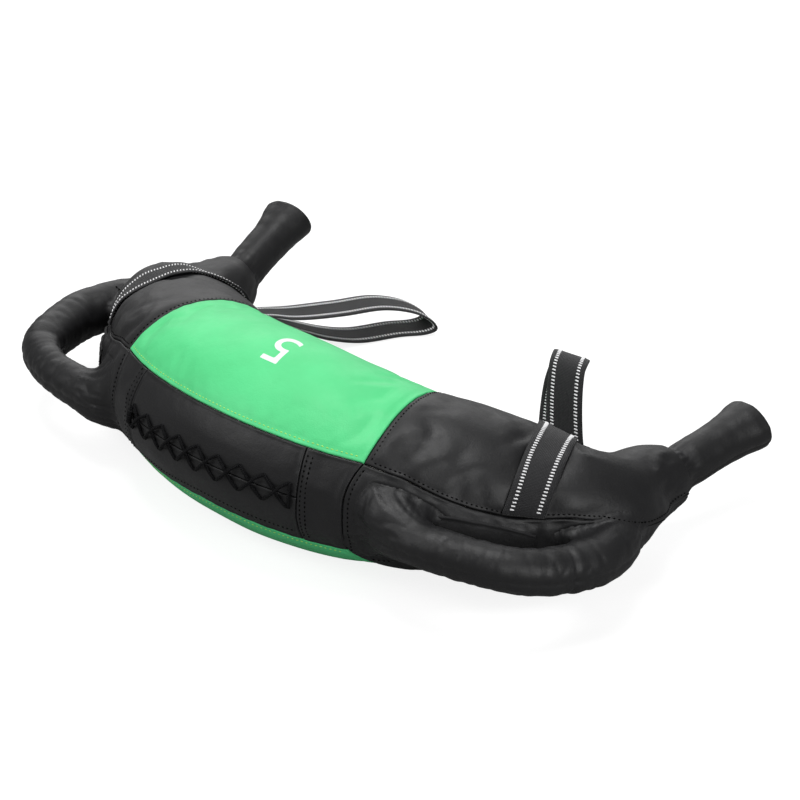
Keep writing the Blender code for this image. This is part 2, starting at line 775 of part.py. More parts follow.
def body_cutter():
    """The crescent's outside, a little larger, which trims what is sewn to it."""
    angles = np.linspace(0, 2 * math.pi, 48, endpoint=False)
    layers = []
    for s in np.linspace(-HALF_LENGTH, HALF_LENGTH, 81):
        layers.append(cover_point(s, angles, -TRIM_GAP))
    return helper(solid_of_rings("body_cutter", np.array(layers), bpy.data.materials["black cover"]))


def make_side_handle(name, side, cutter, black, fibre):
    line, radii = handle_line(name, side, HANDLE_RINGS)
    outer = tube_rings(line, radii, HANDLE_SIDES)
    inner = tube_rings(line, radii - HANDLE_SKIN, HANDLE_SIDES)
    cover = sleeve_of_rings("side_handle_cover_" + name, outer, inner, black)
    filling = tube_rings(line, radii - HANDLE_SKIN - FIT_GAP, HANDLE_SIDES)
    core = solid_of_rings("side_handle_core_" + name, filling, fibre)
    cut(cover, cutter)
    cut(core, cutter)


def slot_reach(place, name, side):
    """How far out from the wall the gap between wall and handle goes."""
    line, radii = handle_line(name, side, SLOT_TRIALS)
    for stand in np.linspace(0, HANDLE_STANDS[name], SLOT_TRIALS):
        point = wall_place(place * HALF_LENGTH, stand, side, 0)
        apart = np.linalg.norm(line[:, :2] - point[:2], axis=1) - radii
        if apart.min() < SLOT_HANDLE_GAP:
            break
    return stand


def slot_outline(name, side, inset):
    """Plan outline of the hand slot between the wall and the handle, kept inset inside it."""
    first, last = SLOT_END_SHARES[name]
    outline = []
    for angle in np.linspace(0, 2 * math.pi, GUSSET_POINTS, endpoint=False):
        place = (first + last) / 2 - (last - first) / 2 * math.cos(angle)
        half = (slot_reach(place, name, side) - SLOT_WALL_GAP) / 2
        half = max(half, SLOT_END_HALF_WIDTH)
        swing = math.copysign(abs(math.sin(angle)) ** SLOT_ROUND_POWER, math.sin(angle))
        point = wall_place(place * HALF_LENGTH, SLOT_WALL_GAP + half * (1 + swing), side, 0)
        outline.append(point[:2])
    outline = np.array(outline)
    tangent = np.roll(outline, -1, axis=0) - np.roll(outline, 1, axis=0)
    tangent /= np.linalg.norm(tangent, axis=1, keepdims=True)
    inward = np.column_stack([-tangent[:, 1], tangent[:, 0]]) * side
    return outline + inward * inset


def make_slot_gusset(name, side, lining):
    """Band that lines the slot, tall against the wall and low behind the handle."""
    outer = slot_outline(name, side, 0)
    inner = slot_outline(name, side, GUSSET_THICKNESS)
    base = HANDLE_HEIGHTS[name] - GUSSET_HEIGHT / 2
    to_wall = (1 - np.sin(np.linspace(0, 2 * math.pi, GUSSET_POINTS, endpoint=False))) / 2
    heights = GUSSET_FRONT_HEIGHT + (GUSSET_HEIGHT - GUSSET_FRONT_HEIGHT) * to_wall
    band_of_outlines("slot_gusset_" + name, outer, inner, base, heights, lining)


# Horn grips


def horn_frame(name, side):
    """Pivot at the end of the crescent, and the horn's directions along, across and up."""
    middle, outward, front, back, half, underside = section(np.array(side * HALF_LENGTH))
    pivot = np.array([middle[0], middle[1], underside + half])
    rise = HORN_RISE_ANGLES[name]
    plan = math.cos(rise)
    along = np.array(
        [
            side * plan * math.cos(HORN_HEADING_ANGLE),
            plan * math.sin(HORN_HEADING_ANGLE),
            math.sin(rise),
        ]
    )
    across = np.cross(along, (0, 0, 1))
    across /= np.linalg.norm(across)
    return pivot, along, across, np.cross(across, along)


def ball_radius():
    root = min(STATION_SHARES[-1][2] * HALF_DEPTH, STATION_SHARES[-1][4] * HALF_HEIGHT)
    return root - SKIN - HORN_BALL_CLEARANCE


def tip_size():
    """Half width and half depth of the horn's wide end."""
    grip = ball_radius() * HORN_GRIP_SHARE
    return grip + HORN_TIP_WIDENING, grip + HORN_TIP_DEEPENING


def horn_profile(inset):
    """Distance along the horn, half width and half depth of each section."""
    ball = ball_radius()
    grip = ball * HORN_GRIP_SHARE
    neck = math.acos(HORN_GRIP_SHARE)
    rows = []
    for angle in np.linspace(-HORN_BALL_BACK_ANGLE, neck, 5):
        radius = ball * math.cos(angle)
        rows.append((ball * math.sin(angle), radius - inset, radius - inset))
    for place, flare in HORN_FLARE_SHARES:
        wide = grip + HORN_TIP_WIDENING * flare
        deep = grip + HORN_TIP_DEEPENING * flare
        rows.append((place * HORN_LENGTH, wide - inset, deep - inset))
    return rows


def horn_rings(name, side, rows):
    pivot, along, across, up = horn_frame(name, side)
    angles = np.linspace(0, 2 * math.pi, HORN_SIDES, endpoint=False)
    rings = []
    for distance, wide, deep in rows:
        ring = np.outer(np.cos(angles) * wide, across) + np.outer(np.sin(angles) * deep, up)
        rings.append(pivot + along * distance + ring)
    return np.array(rings)


def make_horn(name, side, black, fibre):
    pivot = horn_frame(name, side)[0]
    rig = bpy.data.objects.new("horn_pivot_" + name, None)
    rig.location = pivot
    bpy.context.scene.collection.objects.link(rig)
    outer = horn_rings(name, side, horn_profile(0))
    inner = horn_rings(name, side, horn_profile(HORN_SKIN))
    cover = sleeve_of_rings("horn_cover_" + name, outer, inner, black, pivot)
    filling = horn_rings(name, side, horn_profile(HORN_SKIN + FIT_GAP))
    core = solid_of_rings("horn_core_" + name, filling, fibre, pivot)
    tip = HORN_LENGTH + FIT_GAP
    top = tip + HORN_CAP_THICKNESS + HORN_CAP_CROWN
    wide, deep = tip_size()
    rows = [
        (tip, wide, deep),
        (tip + HORN_CAP_THICKNESS, wide, deep),
        (top, wide * HORN_CAP_TOP_SHARE, deep * HORN_CAP_TOP_SHARE),
    ]
    cap = solid_of_rings("horn_cap_" + name, horn_rings(name, side, rows), black, pivot)
    for piece in (cover, core, cap):
        piece.parent = rig
        piece.matrix_parent_inverse = rig.matrix_world.inverted()
        piece.location = (0, 0, 0)


# Straps


def strap_middle(t):
    """Place along the bag of the strap's middle at an angle either way from the front."""
    return STRAP_PLACE + STRAP_SLANT * (abs(t) - STRAP_START_ANGLE)


def strap_edges(side, t):
    """Places of the strap's two edges at an angle, a strap's width apart in a straight line."""
    middle = strap_middle(t)
    half = STRAP_WIDTH / 2
    for _ in range(8):
        edges = cover_point(np.array([middle - half, middle + half]), t, 0)
        half *= STRAP_WIDTH / np.linalg.norm(edges[1] - edges[0])
    return side * (middle - half), side * (middle + half)


def strap_row(side, t):
    """Points across the strap at an angle, straight and clear of the cover where it is hollow."""
    near, far = strap_edges(side, t)
    shares = np.linspace(0, 1, STRAP_COLUMNS + 1)
    on_cover = cover_point(near + (far - near) * shares, t, 0)
    first, last = on_cover[0], on_cover[-1]
    straight = first + (last - first) * shares[:, None]
    outward = np.cross(last - first, (0, 0, -side))
    outward /= np.linalg.norm(outward)
    finely = cover_point(np.linspace(near, far, STRAP_TRIALS), t, 0)
    straight += outward * max(0, ((finely - first) @ outward).max())
    hollow = np.clip((abs(t) - STRAP_LIFT_ANGLE) / (math.pi / 2 - STRAP_LIFT_ANGLE / 2), 0, 1)
    return on_cover + (straight - on_cover) * hollow


def strap_slab(name, side, start, finish, surface):
    """Webbing lying on the cover between two angles."""
    rows = max(3, round(abs(finish - start) / STRAP_TURN_STEP))
    grid = [strap_row(side, t) for t in np.linspace(start, finish, rows + 1)]
    middle = np.array(grid).transpose(1, 0, 2)
    across = np.gradient(middle, axis=0)
    along = np.gradient(middle, axis=1)
    facing = np.cross(across, along)
    facing /= np.linalg.norm(facing, axis=2, keepdims=True)
    facing *= side
    outer = middle + facing * (STRAP_GAP + STRAP_THICKNESS)
    return slab(name, outer, middle + facing * STRAP_GAP, surface)


def loop_hinge(side):
    """Where a strap's loop leaves the cover, the hinge's direction, and a point on its axis."""
    edges = cover_point(np.array(strap_edges(side, LOOP_ROOT_ANGLE)), LOOP_ROOT_ANGLE, 0)
    along = (edges[1] - edges[0]) / np.linalg.norm(edges[1] - edges[0]) * side
    outward = np.array([-along[1], along[0], 0])
    root = edges.mean(axis=0) + outward * LOOP_STAND
    axis_point = root + outward * LOOP_AXIS_OUT + np.array([0, 0, LOOP_AXIS_RISE])
    return root, along, axis_point


def make_loop(name, side, surface):
    """The free part of a strap: out from the hinge, round its fold and back."""
    root, hinge, axis_point = loop_hinge(side)
    path = np.array(LOOP_PATHS[name])
    places = np.linspace(0, len(path) - 1, LOOP_STEPS * (len(path) - 1) + 1)
    line, slope = smooth(path, places)
    line = line + root
    line[:, 2] = np.maximum(line[:, 2], STRAP_THICKNESS / 2 + FIT_GAP)
    heading = LOOP_WIDTH_HEADINGS[name]
    own = np.array([math.cos(heading), math.sin(heading), 0])
    shares = places / places[-1]
    turned = np.clip(np.minimum(shares, 1 - shares) / LOOP_TWIST_SHARE, 0, 1)[:, None]
    width = hinge * (1 - turned) + own * turned
    width /= np.linalg.norm(width, axis=1, keepdims=True)
    facing = np.cross(slope, width)
    facing /= np.linalg.norm(facing, axis=1, keepdims=True)
    grids = []
    for lift in (STRAP_THICKNESS / 2, -STRAP_THICKNESS / 2):
        edges = [line + facing * lift + width * STRAP_WIDTH * w for w in (-0.5, 0.5)]
        grids.append(np.array(edges))
    return slab("strap_loop_" + name, grids[0], grids[1], surface, axis_point)


def make_straps(name, side, webbing):
    strap_slab("strap_upper_" + name, side, STRAP_START_ANGLE, STRAP_EXIT_ANGLE, webbing)
    strap_slab("strap_lower_" + name, side, -STRAP_LOW_EXIT_ANGLE, -STRAP_LOW_START_ANGLE, webbing)
    make_loop(name, side, webbing)


def main():
    clear_scene()
    green = material("green cover", GREEN)
    black = material("black cover", BLACK)
    webbing = material("strap webbing", WEBBING)
    lining = material("lining", LINING)
    cord = material("lace cord", CORD)
    foam = material("foam wrap", FOAM)
    sandbag = material("sand bag", SANDBAG)
    fibre = material("fibre stuffing", FIBRE)
    laced = make_centre_panels(green, black)
    make_lace(cord)
    make_lace_knot(cord)
    make_lace_holes(*laced)
    tongue_depth = make_tongue(lining)
    padding_depth = make_padding(foam)
    make_filling(max(tongue_depth, padding_depth), sandbag, fibre)
    cutter = body_cutter()
    for name, side in SIDES.items():
        make_side_panels(name, side, black)
        make_side_handle(name, side, cutter, black, fibre)
        make_slot_gusset(name, side, lining)
        make_horn(name, side, black, fibre)
        make_straps(name, side, webbing)


main()
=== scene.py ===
"""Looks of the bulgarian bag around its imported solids: skins, webbing, lacing, stitches and stage.

Metres, in the frame of the solids. A place on the cover is given by s, the distance along the
crescent's middle line, and t, the angle round its section, as in the part's own source.
"""

import math

import bpy
import numpy as np
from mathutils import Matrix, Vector, noise
from mathutils.bvhtree import BVHTree
from mathutils.kdtree import KDTree


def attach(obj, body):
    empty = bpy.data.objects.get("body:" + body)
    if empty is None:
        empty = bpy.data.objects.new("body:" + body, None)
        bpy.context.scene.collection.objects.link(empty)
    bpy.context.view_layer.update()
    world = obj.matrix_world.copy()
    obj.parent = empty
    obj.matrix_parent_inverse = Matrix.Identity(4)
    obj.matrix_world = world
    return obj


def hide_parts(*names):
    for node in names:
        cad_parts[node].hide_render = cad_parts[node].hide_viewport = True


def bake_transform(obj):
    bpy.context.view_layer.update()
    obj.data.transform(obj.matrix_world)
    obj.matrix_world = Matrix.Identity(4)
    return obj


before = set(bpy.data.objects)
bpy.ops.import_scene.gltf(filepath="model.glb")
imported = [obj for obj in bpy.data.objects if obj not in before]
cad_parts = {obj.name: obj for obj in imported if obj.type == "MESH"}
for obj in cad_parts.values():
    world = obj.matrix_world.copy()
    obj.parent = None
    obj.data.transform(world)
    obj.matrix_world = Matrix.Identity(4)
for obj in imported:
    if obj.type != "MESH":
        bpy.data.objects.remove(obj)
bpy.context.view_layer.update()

# The crescent, as in the part's source
END_REACH = 0.226
END_SWEEP = 0.177
HALF_DEPTH = 0.078
HALF_HEIGHT = 0.0715
BELLY_SINK = 0.003
END_LIFT = 0.026
TUCK_POWER = 1.18
TUCK_FADE_SHARE = 0.25
# Stations along half the crescent, as shares: reach, sweep, front and back depth, half height, lift
STATION_SHARES = (
    (0.000, 0.000, 1.000, 1.000, 1.000, 0.00),
    (0.172, 0.018, 0.990, 0.990, 0.985, 0.00),
    (0.341, 0.073, 0.965, 0.965, 0.935, 0.05),
    (0.500, 0.160, 0.905, 0.920, 0.870, 0.12),
    (0.650, 0.271, 0.790, 0.860, 0.800, 0.20),
    (0.796, 0.409, 0.700, 0.770, 0.710, 0.27),
    (0.920, 0.537, 0.635, 0.665, 0.635, 0.37),
    (0.973, 0.680, 0.590, 0.600, 0.570, 0.47),
    (0.985, 0.850, 0.380, 0.430, 0.420, 0.72),
    (1.000, 1.000, 0.288, 0.288, 0.314, 1.00),
)
GREEN_HALF_LENGTH = 0.100
GREEN_SLANT = 0.0166
LACED_HALF_LENGTH = 0.066
FRONT_PANEL_END = 0.092
FRONT_PANEL_FLARE = 0.008
FLARE_START_ANGLE = 0.20
BACK_SEAM_ANGLE = math.pi + 0.75
TOP_SEAM_PLACE_SHARES = (0.0, 0.31, 0.39, 0.46, 0.52, 0.58, 0.65, 0.71, 0.75, 0.80, 0.88, 1.0)
TOP_SEAM_ANGLES = (0.70, 0.70, 0.63, 0.47, 0.37, 0.32, 0.33, 0.38, 0.33, 0.10, -0.08, -0.15)
LOW_SEAM_PLACE_SHARES = (0.0, 0.30, 0.62, 1.0)
LOW_SEAM_ANGLES = (-0.42, -0.52, -0.72, -0.95)

# Lacing
LACE_RADIUS = 0.0012
LACE_COLUMNS = 9
LACE_HALF_SPAN = 0.061
LACE_CLEARANCE = 0.0009
LACE_DRAWN_RADIUS = 0.00120
LACE_FLAT_SHARE = 0.75
LACE_UPPER_ANGLE = 0.31
LACE_LOWER_ANGLE = 0.04
LACE_SLIT_ANGLE = 0.175
LACE_TURN_ANGLE = 0.87
LACE_FLAT_RUN_SHARES = (0.30, 0.70)
LACE_HUMP_RUN_SHARES = (0.22, 0.40, 0.60, 0.78)
LACE_HUMP_RISE_SHARE = 1.7
KNOT_LENGTH = 0.011
KNOT_RADIUS = 0.0021
KNOT_CORD_RADIUS = 0.0010
KNOT_TURNS = 6
KNOT_FILL_SHARE = 0.92
KNOT_WIND_HEIGHT = 0.0009
KNOT_WIND_REACH = 0.0015
TONGUE_HALF_LENGTH = 0.0635
TONGUE_MARGIN_ANGLE = 0.10
TONGUE_THICKNESS = 0.0012
TONGUE_SWAY = 0.0004
TONGUE_SWAY_SIZE = 0.012
SKIN = 0.002
FIT_GAP = 0.0004

# Side handles
HANDLE_RADIUS = 0.0155
HANDLE_STANDS = {"left": 0.053, "right": 0.048}
HANDLE_HEIGHTS = {"left": 0.053, "right": 0.063}
# Points of each tube: place along the bag, stand off it, height and radius, as shares
HANDLE_SHARES = {
    "left": (
        (0.343, -0.39, 0.95, 1.25),
        (0.378, 0.02, 0.97, 1.20),
        (0.445, 0.40, 0.99, 1.06),
        (0.515, 0.74, 1.00, 1.00),
        (0.590, 0.93, 1.00, 1.06),
        (0.655, 0.90, 1.00, 1.16),
        (0.700, 0.71, 0.99, 1.23),
        (0.735, 0.42, 0.98, 1.27),
        (0.768, 0.02, 0.96, 1.30),
        (0.785, -0.35, 0.94, 1.35),
    ),
    "right": (
        (0.343, -0.39, 0.97, 1.20),
        (0.379, -0.01, 0.99, 1.14),
        (0.433, 0.37, 1.00, 1.04),
        (0.505, 0.71, 0.99, 1.00),
        (0.582, 0.93, 0.96, 1.00),
        (0.655, 0.92, 0.91, 1.04),
        (0.700, 0.74, 0.86, 1.09),
        (0.732, 0.45, 0.81, 1.14),
        (0.760, 0.04, 0.76, 1.19),
        (0.775, -0.35, 0.72, 1.25),
    ),
}
SLOT_END_HALF_WIDTH = 0.0024
SLOT_ROUND_POWER = 0.7
SLOT_TRIALS = 90

# Horn grips
HORN_LENGTH = 0.085
HORN_HEADING_ANGLE = 1.41
HORN_RISE_ANGLES = {"left": 0.34, "right": 0.16}
HORN_GRIP_RADIUS = 0.0168
HORN_TIP_HALF_WIDTH = 0.0232
HORN_TIP_HALF_DEPTH = 0.0185
HORN_BALL_RADIUS = 0.01985
HORN_TIP_ROLL = 0.0020
HORN_SEAM_ANGLES = {"left": -2.8, "right": -0.35}
HORN_FLARE_SHARES = ((0.20, 0.0), (0.45, 0.0), (0.66, 0.15), (0.80, 0.50), (0.91, 0.90), (1.00, 1.0))

# Straps
STRAP_WIDTH = 0.030
STRAP_THICKNESS = 0.0016
STRAP_PLACE = 0.198
STRAP_SLANT = 0.014
STRAP_START_ANGLE = 0.36
STRAP_EXIT_ANGLE = 3.018
STRAP_LOW_START_ANGLE = 0.60
STRAP_LOW_EXIT_ANGLE = 3.144
STRAP_GAP = 0.0012
STRAP_LIFT_ANGLE = 1.65
LOOP_ROOT_ANGLE = 3.08
LOOP_STAND = 0.0022
LOOP_TWIST_SHARE = 0.22
STRAP_SEARCH = 0.015
STRAP_FADE_SHARE = 0.20
LOOP_WIDTH_HEADINGS = {"left": -0.36, "right": 0.13}
# Route of each loop's middle from its root and back, in metres
LOOP_PATHS = {
    "left": (
        (0.000, 0.0005, 0.0012),
        (0.003, 0.020, -0.004),
        (0.009, 0.045, -0.012),
        (0.015, 0.090, -0.023),
        (0.026, 0.127, -0.028),
        (0.042, 0.151, -0.036),
        (0.057, 0.159, -0.046),
        (0.050, 0.152, -0.0522),
        (0.036, 0.134, -0.0525),
        (0.021, 0.105, -0.0520),
        (0.009, 0.081, -0.045),
        (0.003, 0.055, -0.031),
        (0.000, 0.024, -0.013),
        (0.000, 0.0005, -0.0012),
    ),
    "right": (
        (0.000, 0.0005, 0.0012),
        (-0.001, 0.0065, 0.0036),
        (-0.006, 0.010, 0.020),
        (-0.011, 0.015, 0.042),
        (-0.017, 0.024, 0.058),
        (-0.024, 0.037, 0.061),
        (-0.034, 0.052, 0.052),
        (-0.048, 0.066, 0.034),
        (-0.060, 0.073, 0.008),
        (-0.062, 0.071, -0.020),
        (-0.055, 0.061, -0.042),
        (-0.043, 0.046, -0.0515),
        (-0.028, 0.030, -0.0500),
        (-0.014, 0.016, -0.038),
        (-0.005, 0.011, -0.020),
        (-0.001, 0.0065, -0.0036),
        (0.000, 0.0005, -0.0012),
    ),
}
SIDES = {"left": -1, "right": 1}

# Detail of the looks
PANEL_STEP = 0.0030
LACED_PANEL_STEP = 0.0014
SIDE_PANEL_STEP = 0.0022
EDGE_STEPS = (0.0, 0.0003, 0.0007, 0.0013, 0.0022, 0.0036)
EDGE_ROLL = 0.0009
EDGE_PUCKER = 0.0005
SEAM_VISIBLE_GAP = 0.0003
PANEL_CROWN = 0.0016
CROWN_REACH = 0.016
END_DRAW_IN = 0.0065
SETTLE_STEP = 0.0065
SETTLE_FRAMES = 16
HANDLE_STEP = 0.0014
HANDLE_SLACK = {"left": (0.0035, 0.0, 0.55), "right": (0.0, 0.0030, 0.30)}
JOIN_CELL = 0.0028
JOIN_FIELD_REACH = 0.052
JOIN_OVERLAP = 0.014
JOIN_DIVE = 0.004
JOIN_EDGE_DIVE = 0.0020
JOIN_EDGE_FADE = 0.006
RING_SOFTNESS = 0.002
CORE_SHARE = 0.45
FLAP_ANGLE = 0.10
FLAP_END_ANGLE = 0.12
FLAP_LOW_ANGLE = -0.35
LINING_RIM = 0.0022
LINING_THICKNESS = 0.0011
LINING_LIFT = 0.0009
LINING_HEM = 0.0006
LINING_HEM_WIDTH = 0.0008
# Crumpling of the linings: size, height, noise seed and stretch down the slot
LINING_CRUMPLES = ((0.0045, 0.0006, 21, 2.6), (0.0018, 0.0003, 22, 2.0))
FLAP_CRUMPLES = ((0.0060, 0.0009, 21, 1.6), (0.0022, 0.0003, 22, 1.0))
FLAP_LIFT = 0.0010
FLAP_CRUMPLE_REACH = 0.006
# Hem of the flap: height, distance from its edge and width
FLAP_HEM = (0.0010, 0.0012, 0.0010)
FLAP_HEM_GROOVE = (-0.0006, 0.0034, 0.0009)
HANDLE_SKIN = 0.0012
SINK_REACH = 0.005
SLOPE_STEP = 0.0002
CORE_FLOOR_CLEARANCE = 0.003
JOIN_FADE = 0.020
HANDLE_ROOT_DEPTH = 0.028
HANDLE_ROOT_SHARE = 0.6
BLEND_REACH_INNER = {"left": 0.020, "right": 0.034}
BLEND_REACH_SLOT = 0.004
BLEND_REACH_OUTER = {"left": 0.028, "right": 0.038}
BLEND_LOW_SHARE = 0.15
BLEND_INNER_FULL_SHARE = 0.12
BLEND_INNER_END_SHARE = 0.34
BLEND_OUTER_START_SHARE = {"left": 0.70, "right": 0.52}
BLEND_OUTER_FULL_SHARE = {"left": 0.92, "right": 0.80}
SLOT_RIM_REACH = 0.006
SLOT_OPEN_SHARES = {"left": (0.485, 0.700), "right": (0.450, 0.652)}
SLOT_WALL_STANDS = {"left": 0.0040, "right": 0.0040}
SLOT_HANDLE_GAPS = {"left": -0.0045, "right": 0.0}
SLOT_SLANTS = {"left": (-0.50, 0.40), "right": (0.0, 0.0)}
# Bulge over each slot: height, middle along the bag, reach, lowest and full angle
SHOULDERS = {"left": (0.0035, 0.178, 0.060, -0.25, 0.10), "right": (0.0042, 0.176, 0.060, -0.15, 0.12)}
SHOULDER_SEAM_ANGLE = 0.16
SEAM_CALM_NEAR = 0.002
SEAM_CALM_REACH = 0.020
END_CALM_PLACE = 0.284
DASH_PITCH = 0.0025
DASH_LENGTH = 0.0011
DASH_WIDTH = 0.0028
DASH_HEIGHT = 0.0005
DASH_INSET_SHARE = 0.17
STITCH_PITCH = 0.0036
STITCH_LENGTH = 0.0027
STITCH_RADIUS = 0.00060
LIME_STITCH_RADIUS = 0.00050
STITCH_GROOVE_PLACE = 0.0030
STITCH_GROOVE_DEPTH = 0.0005
STITCH_GROOVE_WIDTH = 0.0009
FLOOR_CLEARANCE = 0.0002
INNER_FLOOR_CLEARANCE = 0.0012
SKIN_DRAWN_SHARE = 0.9
SHOULDER_EDGE_REACH = 0.004
RELIEF_EDGE_REACH = 0.006
PUCKER_SIZE = 0.0065
PUCKER_REACH = 0.007
CLOTH_PRESSURE = 2.0
CLOTH_REACH = 0.004
JOIN_DIVE_REACH = 0.008
# Lumps of the cover: size, height and noise seed
COVER_LUMPS = ((0.055, 0.0011, 1), (0.024, 0.0007, 2))
# Folds of the cover toward its ends, and where it is drawn in there
END_FOLD_START = 0.20
END_FOLD_REACH = 0.10
END_FOLD_FADE_START = 0.270
END_FOLD_FADE_REACH = 0.025
END_FOLD_LENGTH = 0.050
END_FOLD_TURNS = 2.2
END_FOLD_HEIGHT = 0.0016
END_FOLD_SHARPNESS = 4
DRAW_IN_START = 0.225
DRAW_IN_REACH = 0.04
DRAW_IN_END = 0.308
DRAW_IN_FADE = 0.035
# Where the cover lies still: beside the straps and round the lacing
STRAP_MARGIN_ANGLE = 0.05
STRAP_PRESS_REACH = 0.011
STRAP_PRESS_DEPTH = 0.0004
LACING_CALM_REACH = 0.006
LACING_HALF_ANGLE = 0.20
LACING_CALM_ANGLE = 0.08
# Straps: points across and spacing of rows
STRAP_COLUMNS = 12
STRAP_ROW_ANGLE = 0.03
STRAP_ROW_STEP = 0.0022


# The crescent's surface


def mirrored_stations():
    sizes = (END_REACH, END_SWEEP, HALF_DEPTH, HALF_DEPTH, HALF_HEIGHT, END_LIFT)
    right = np.array(STATION_SHARES) * np.array(sizes)
    right[:, 5] -= BELLY_SINK
    left = right[:0:-1].copy()
    left[:, 0] *= -1
    return np.vstack([left, right])


def smooth(rows, place):
    """Value and slope of a Catmull-Rom curve through rows at fractional row numbers."""
    rows = np.asarray(rows, float)
    place = np.clip(np.asarray(place, float), 0, len(rows) - 1)
    whole = np.minimum(np.floor(place), len(rows) - 2).astype(int)
    part = (place - whole).reshape(place.shape + (1,) * (rows.ndim - 1))
    ends = [2 * rows[:1] - rows[1:2], rows, 2 * rows[-1:] - rows[-2:-1]]
    padded = np.concatenate(ends)
    a, b, c, d = (padded[whole + k] for k in range(4))
    linear = c - a
    square = 2 * a - 5 * b + 4 * c - d
    cube = 3 * b - a - 3 * c + d
    value = (2 * b + linear * part + square * part**2 + cube * part**3) / 2
    slope = (linear + 2 * square * part + 3 * cube * part**2) / 2
    return value, slope


STATIONS = mirrored_stations()
PLACES = np.linspace(0, len(STATIONS) - 1, (len(STATIONS) - 1) * 40 + 1)
MIDDLE_LINE = smooth(STATIONS, PLACES)[0][:, :2]
ALONG = np.concatenate([[0], np.cumsum(np.hypot(*np.diff(MIDDLE_LINE, axis=0).T))])
ALONG -= ALONG[-1] / 2
HALF_LENGTH = ALONG[-1]


def section(s):
    """Middle point, outward direction, front and back depth, half height and underside at s."""
    value, slope = smooth(STATIONS, np.interp(s, ALONG, PLACES))
    outward = np.stack([slope[..., 1], -slope[..., 0]], -1)
    outward /= np.linalg.norm(outward, axis=-1, keepdims=True)
    return value[..., :2], outward, value[..., 2], value[..., 3], value[..., 4], value[..., 5]


def cover_point(s, t, inset=0.0):
    s, t = np.broadcast_arrays(np.asarray(s, float), np.asarray(t, float))
    middle, outward, front, back, half, underside = section(s)
    fade = np.clip((1 - np.abs(s) / HALF_LENGTH) / TUCK_FADE_SHARE, 0, 1)
    tucked = (np.cos(t) > 0) & (np.sin(t) < 0)
    power = np.where(tucked, 1 + (TUCK_POWER - 1) * fade, 1.0)
    across = np.sign(np.cos(t)) * np.abs(np.cos(t)) ** power
    upward = np.sign(np.sin(t)) * np.abs(np.sin(t)) ** power
    depth = np.where(np.cos(t) > 0, front, back) - inset
    level = underside + half + (half - inset) * upward
    plan = middle + outward * (depth * across)[..., None]
    return np.concatenate([plan, np.maximum(level, inset)[..., None]], -1)


def unit(vectors):
    return vectors / np.maximum(np.linalg.norm(vectors, axis=-1, keepdims=True), 1e-12)


def cover_normal(s, t):
    step = 0.002
    reach = step * HALF_LENGTH
    along = cover_point(np.asarray(s) + reach, t) - cover_point(np.asarray(s) - reach, t)
    upward = cover_point(s, np.asarray(t) + step) - cover_point(s, np.asarray(t) - step)
    return unit(np.cross(along, upward))


def top_seam(s):
    return np.interp(np.abs(s) / HALF_LENGTH, TOP_SEAM_PLACE_SHARES, TOP_SEAM_ANGLES)


def low_seam(s):
    return np.interp(np.abs(s) / HALF_LENGTH, LOW_SEAM_PLACE_SHARES, LOW_SEAM_ANGLES)


def back_seam(s):
    return BACK_SEAM_ANGLE + 0 * np.asarray(s, float)


def back_seam_below(s):
    return back_seam(s) - 2 * math.pi


def slit(s):
    return LACE_SLIT_ANGLE + 0 * np.asarray(s, float)


def green_top_edge(t):
    return GREEN_HALF_LENGTH + GREEN_SLANT * (t - TOP_SEAM_ANGLES[0])


def green_low_edge(t):
    start = BACK_SEAM_ANGLE - 2 * math.pi
    return np.interp(t, (start, LOW_SEAM_ANGLES[1]), (green_top_edge(BACK_SEAM_ANGLE), FRONT_PANEL_END))


def front_panel_edge(t):
    rise = np.clip((t - FLARE_START_ANGLE) / (TOP_SEAM_ANGLES[0] - FLARE_START_ANGLE), 0, 1)
    return FRONT_PANEL_END + FRONT_PANEL_FLARE * rise**2


def constant(value):
    return lambda other: value + 0 * np.asarray(other, float)


def mirrored(edges, side):
    if side > 0:
        return edges
    return (lambda t: -edges[1](t), lambda t: -edges[0](t))


def ease(share):
    """0 to 1 with a soft start and end."""
    share = np.clip(share, 0, 1)
    return share**2 * (3 - 2 * share)


def bell(distance, width):
    """1 at no distance, and nearly 0 from twice the width on."""
    return np.exp(-((distance / width) ** 2))


def cover_place(points):
    """About how far outside the cover each point is, and its place along and round it."""
    flat = points.reshape(-1, 3)
    line, along = MIDDLE_LINE[::4], ALONG[::4]
    nearest = np.empty(len(flat))
    for start in range(0, len(flat), 8000):
        chunk = flat[start : start + 8000, None, :2] - line[None]
        number = np.clip((chunk**2).sum(-1).argmin(1), 1, len(line) - 2)
        step = line[number + 1] - line[number - 1]
        share = ((flat[start : start + 8000, :2] - line[number]) * step).sum(1) / (step**2).sum(1)
        share = np.clip(share, -0.5, 0.5)
        nearest[start : start + 8000] = along[number] + share * (along[number + 1] - along[number - 1])
    middle, outward, front, back, half, underside = section(nearest)
    across = ((flat[:, :2] - middle) * outward).sum(-1)
    upward = flat[:, 2] - underside - half
    depth = np.where(across > 0, front, back)
    size = np.sqrt((across / depth) ** 2 + (upward / half) ** 2)
    steep = np.sqrt((across / depth**2) ** 2 + (upward / half**2) ** 2) / np.maximum(size, 1e-9)
    distance = (size - 1) / np.maximum(steep, 1e-9)
    turn = np.arctan2(upward / half, across / depth)
    shape = points.shape[:-1]
    distance = distance - shoulder(nearest, turn)
    return distance.reshape(shape), nearest.reshape(shape), turn.reshape(shape)


def shoulder(s, t):
    """How far the leather bulges out between the top seam and a hand slot."""
    height = 0.0
    for name, (peak, middle, reach, low, full) in SHOULDERS.items():
        along = ease(1 - np.abs(s * SIDES[name] - middle) / reach)
        under = ease((t - low) / (full - low)) * ease((top_seam(s) - t) / SHOULDER_SEAM_ANGLE)
        height = height + peak * along * under
    return height


# Noise and meshes


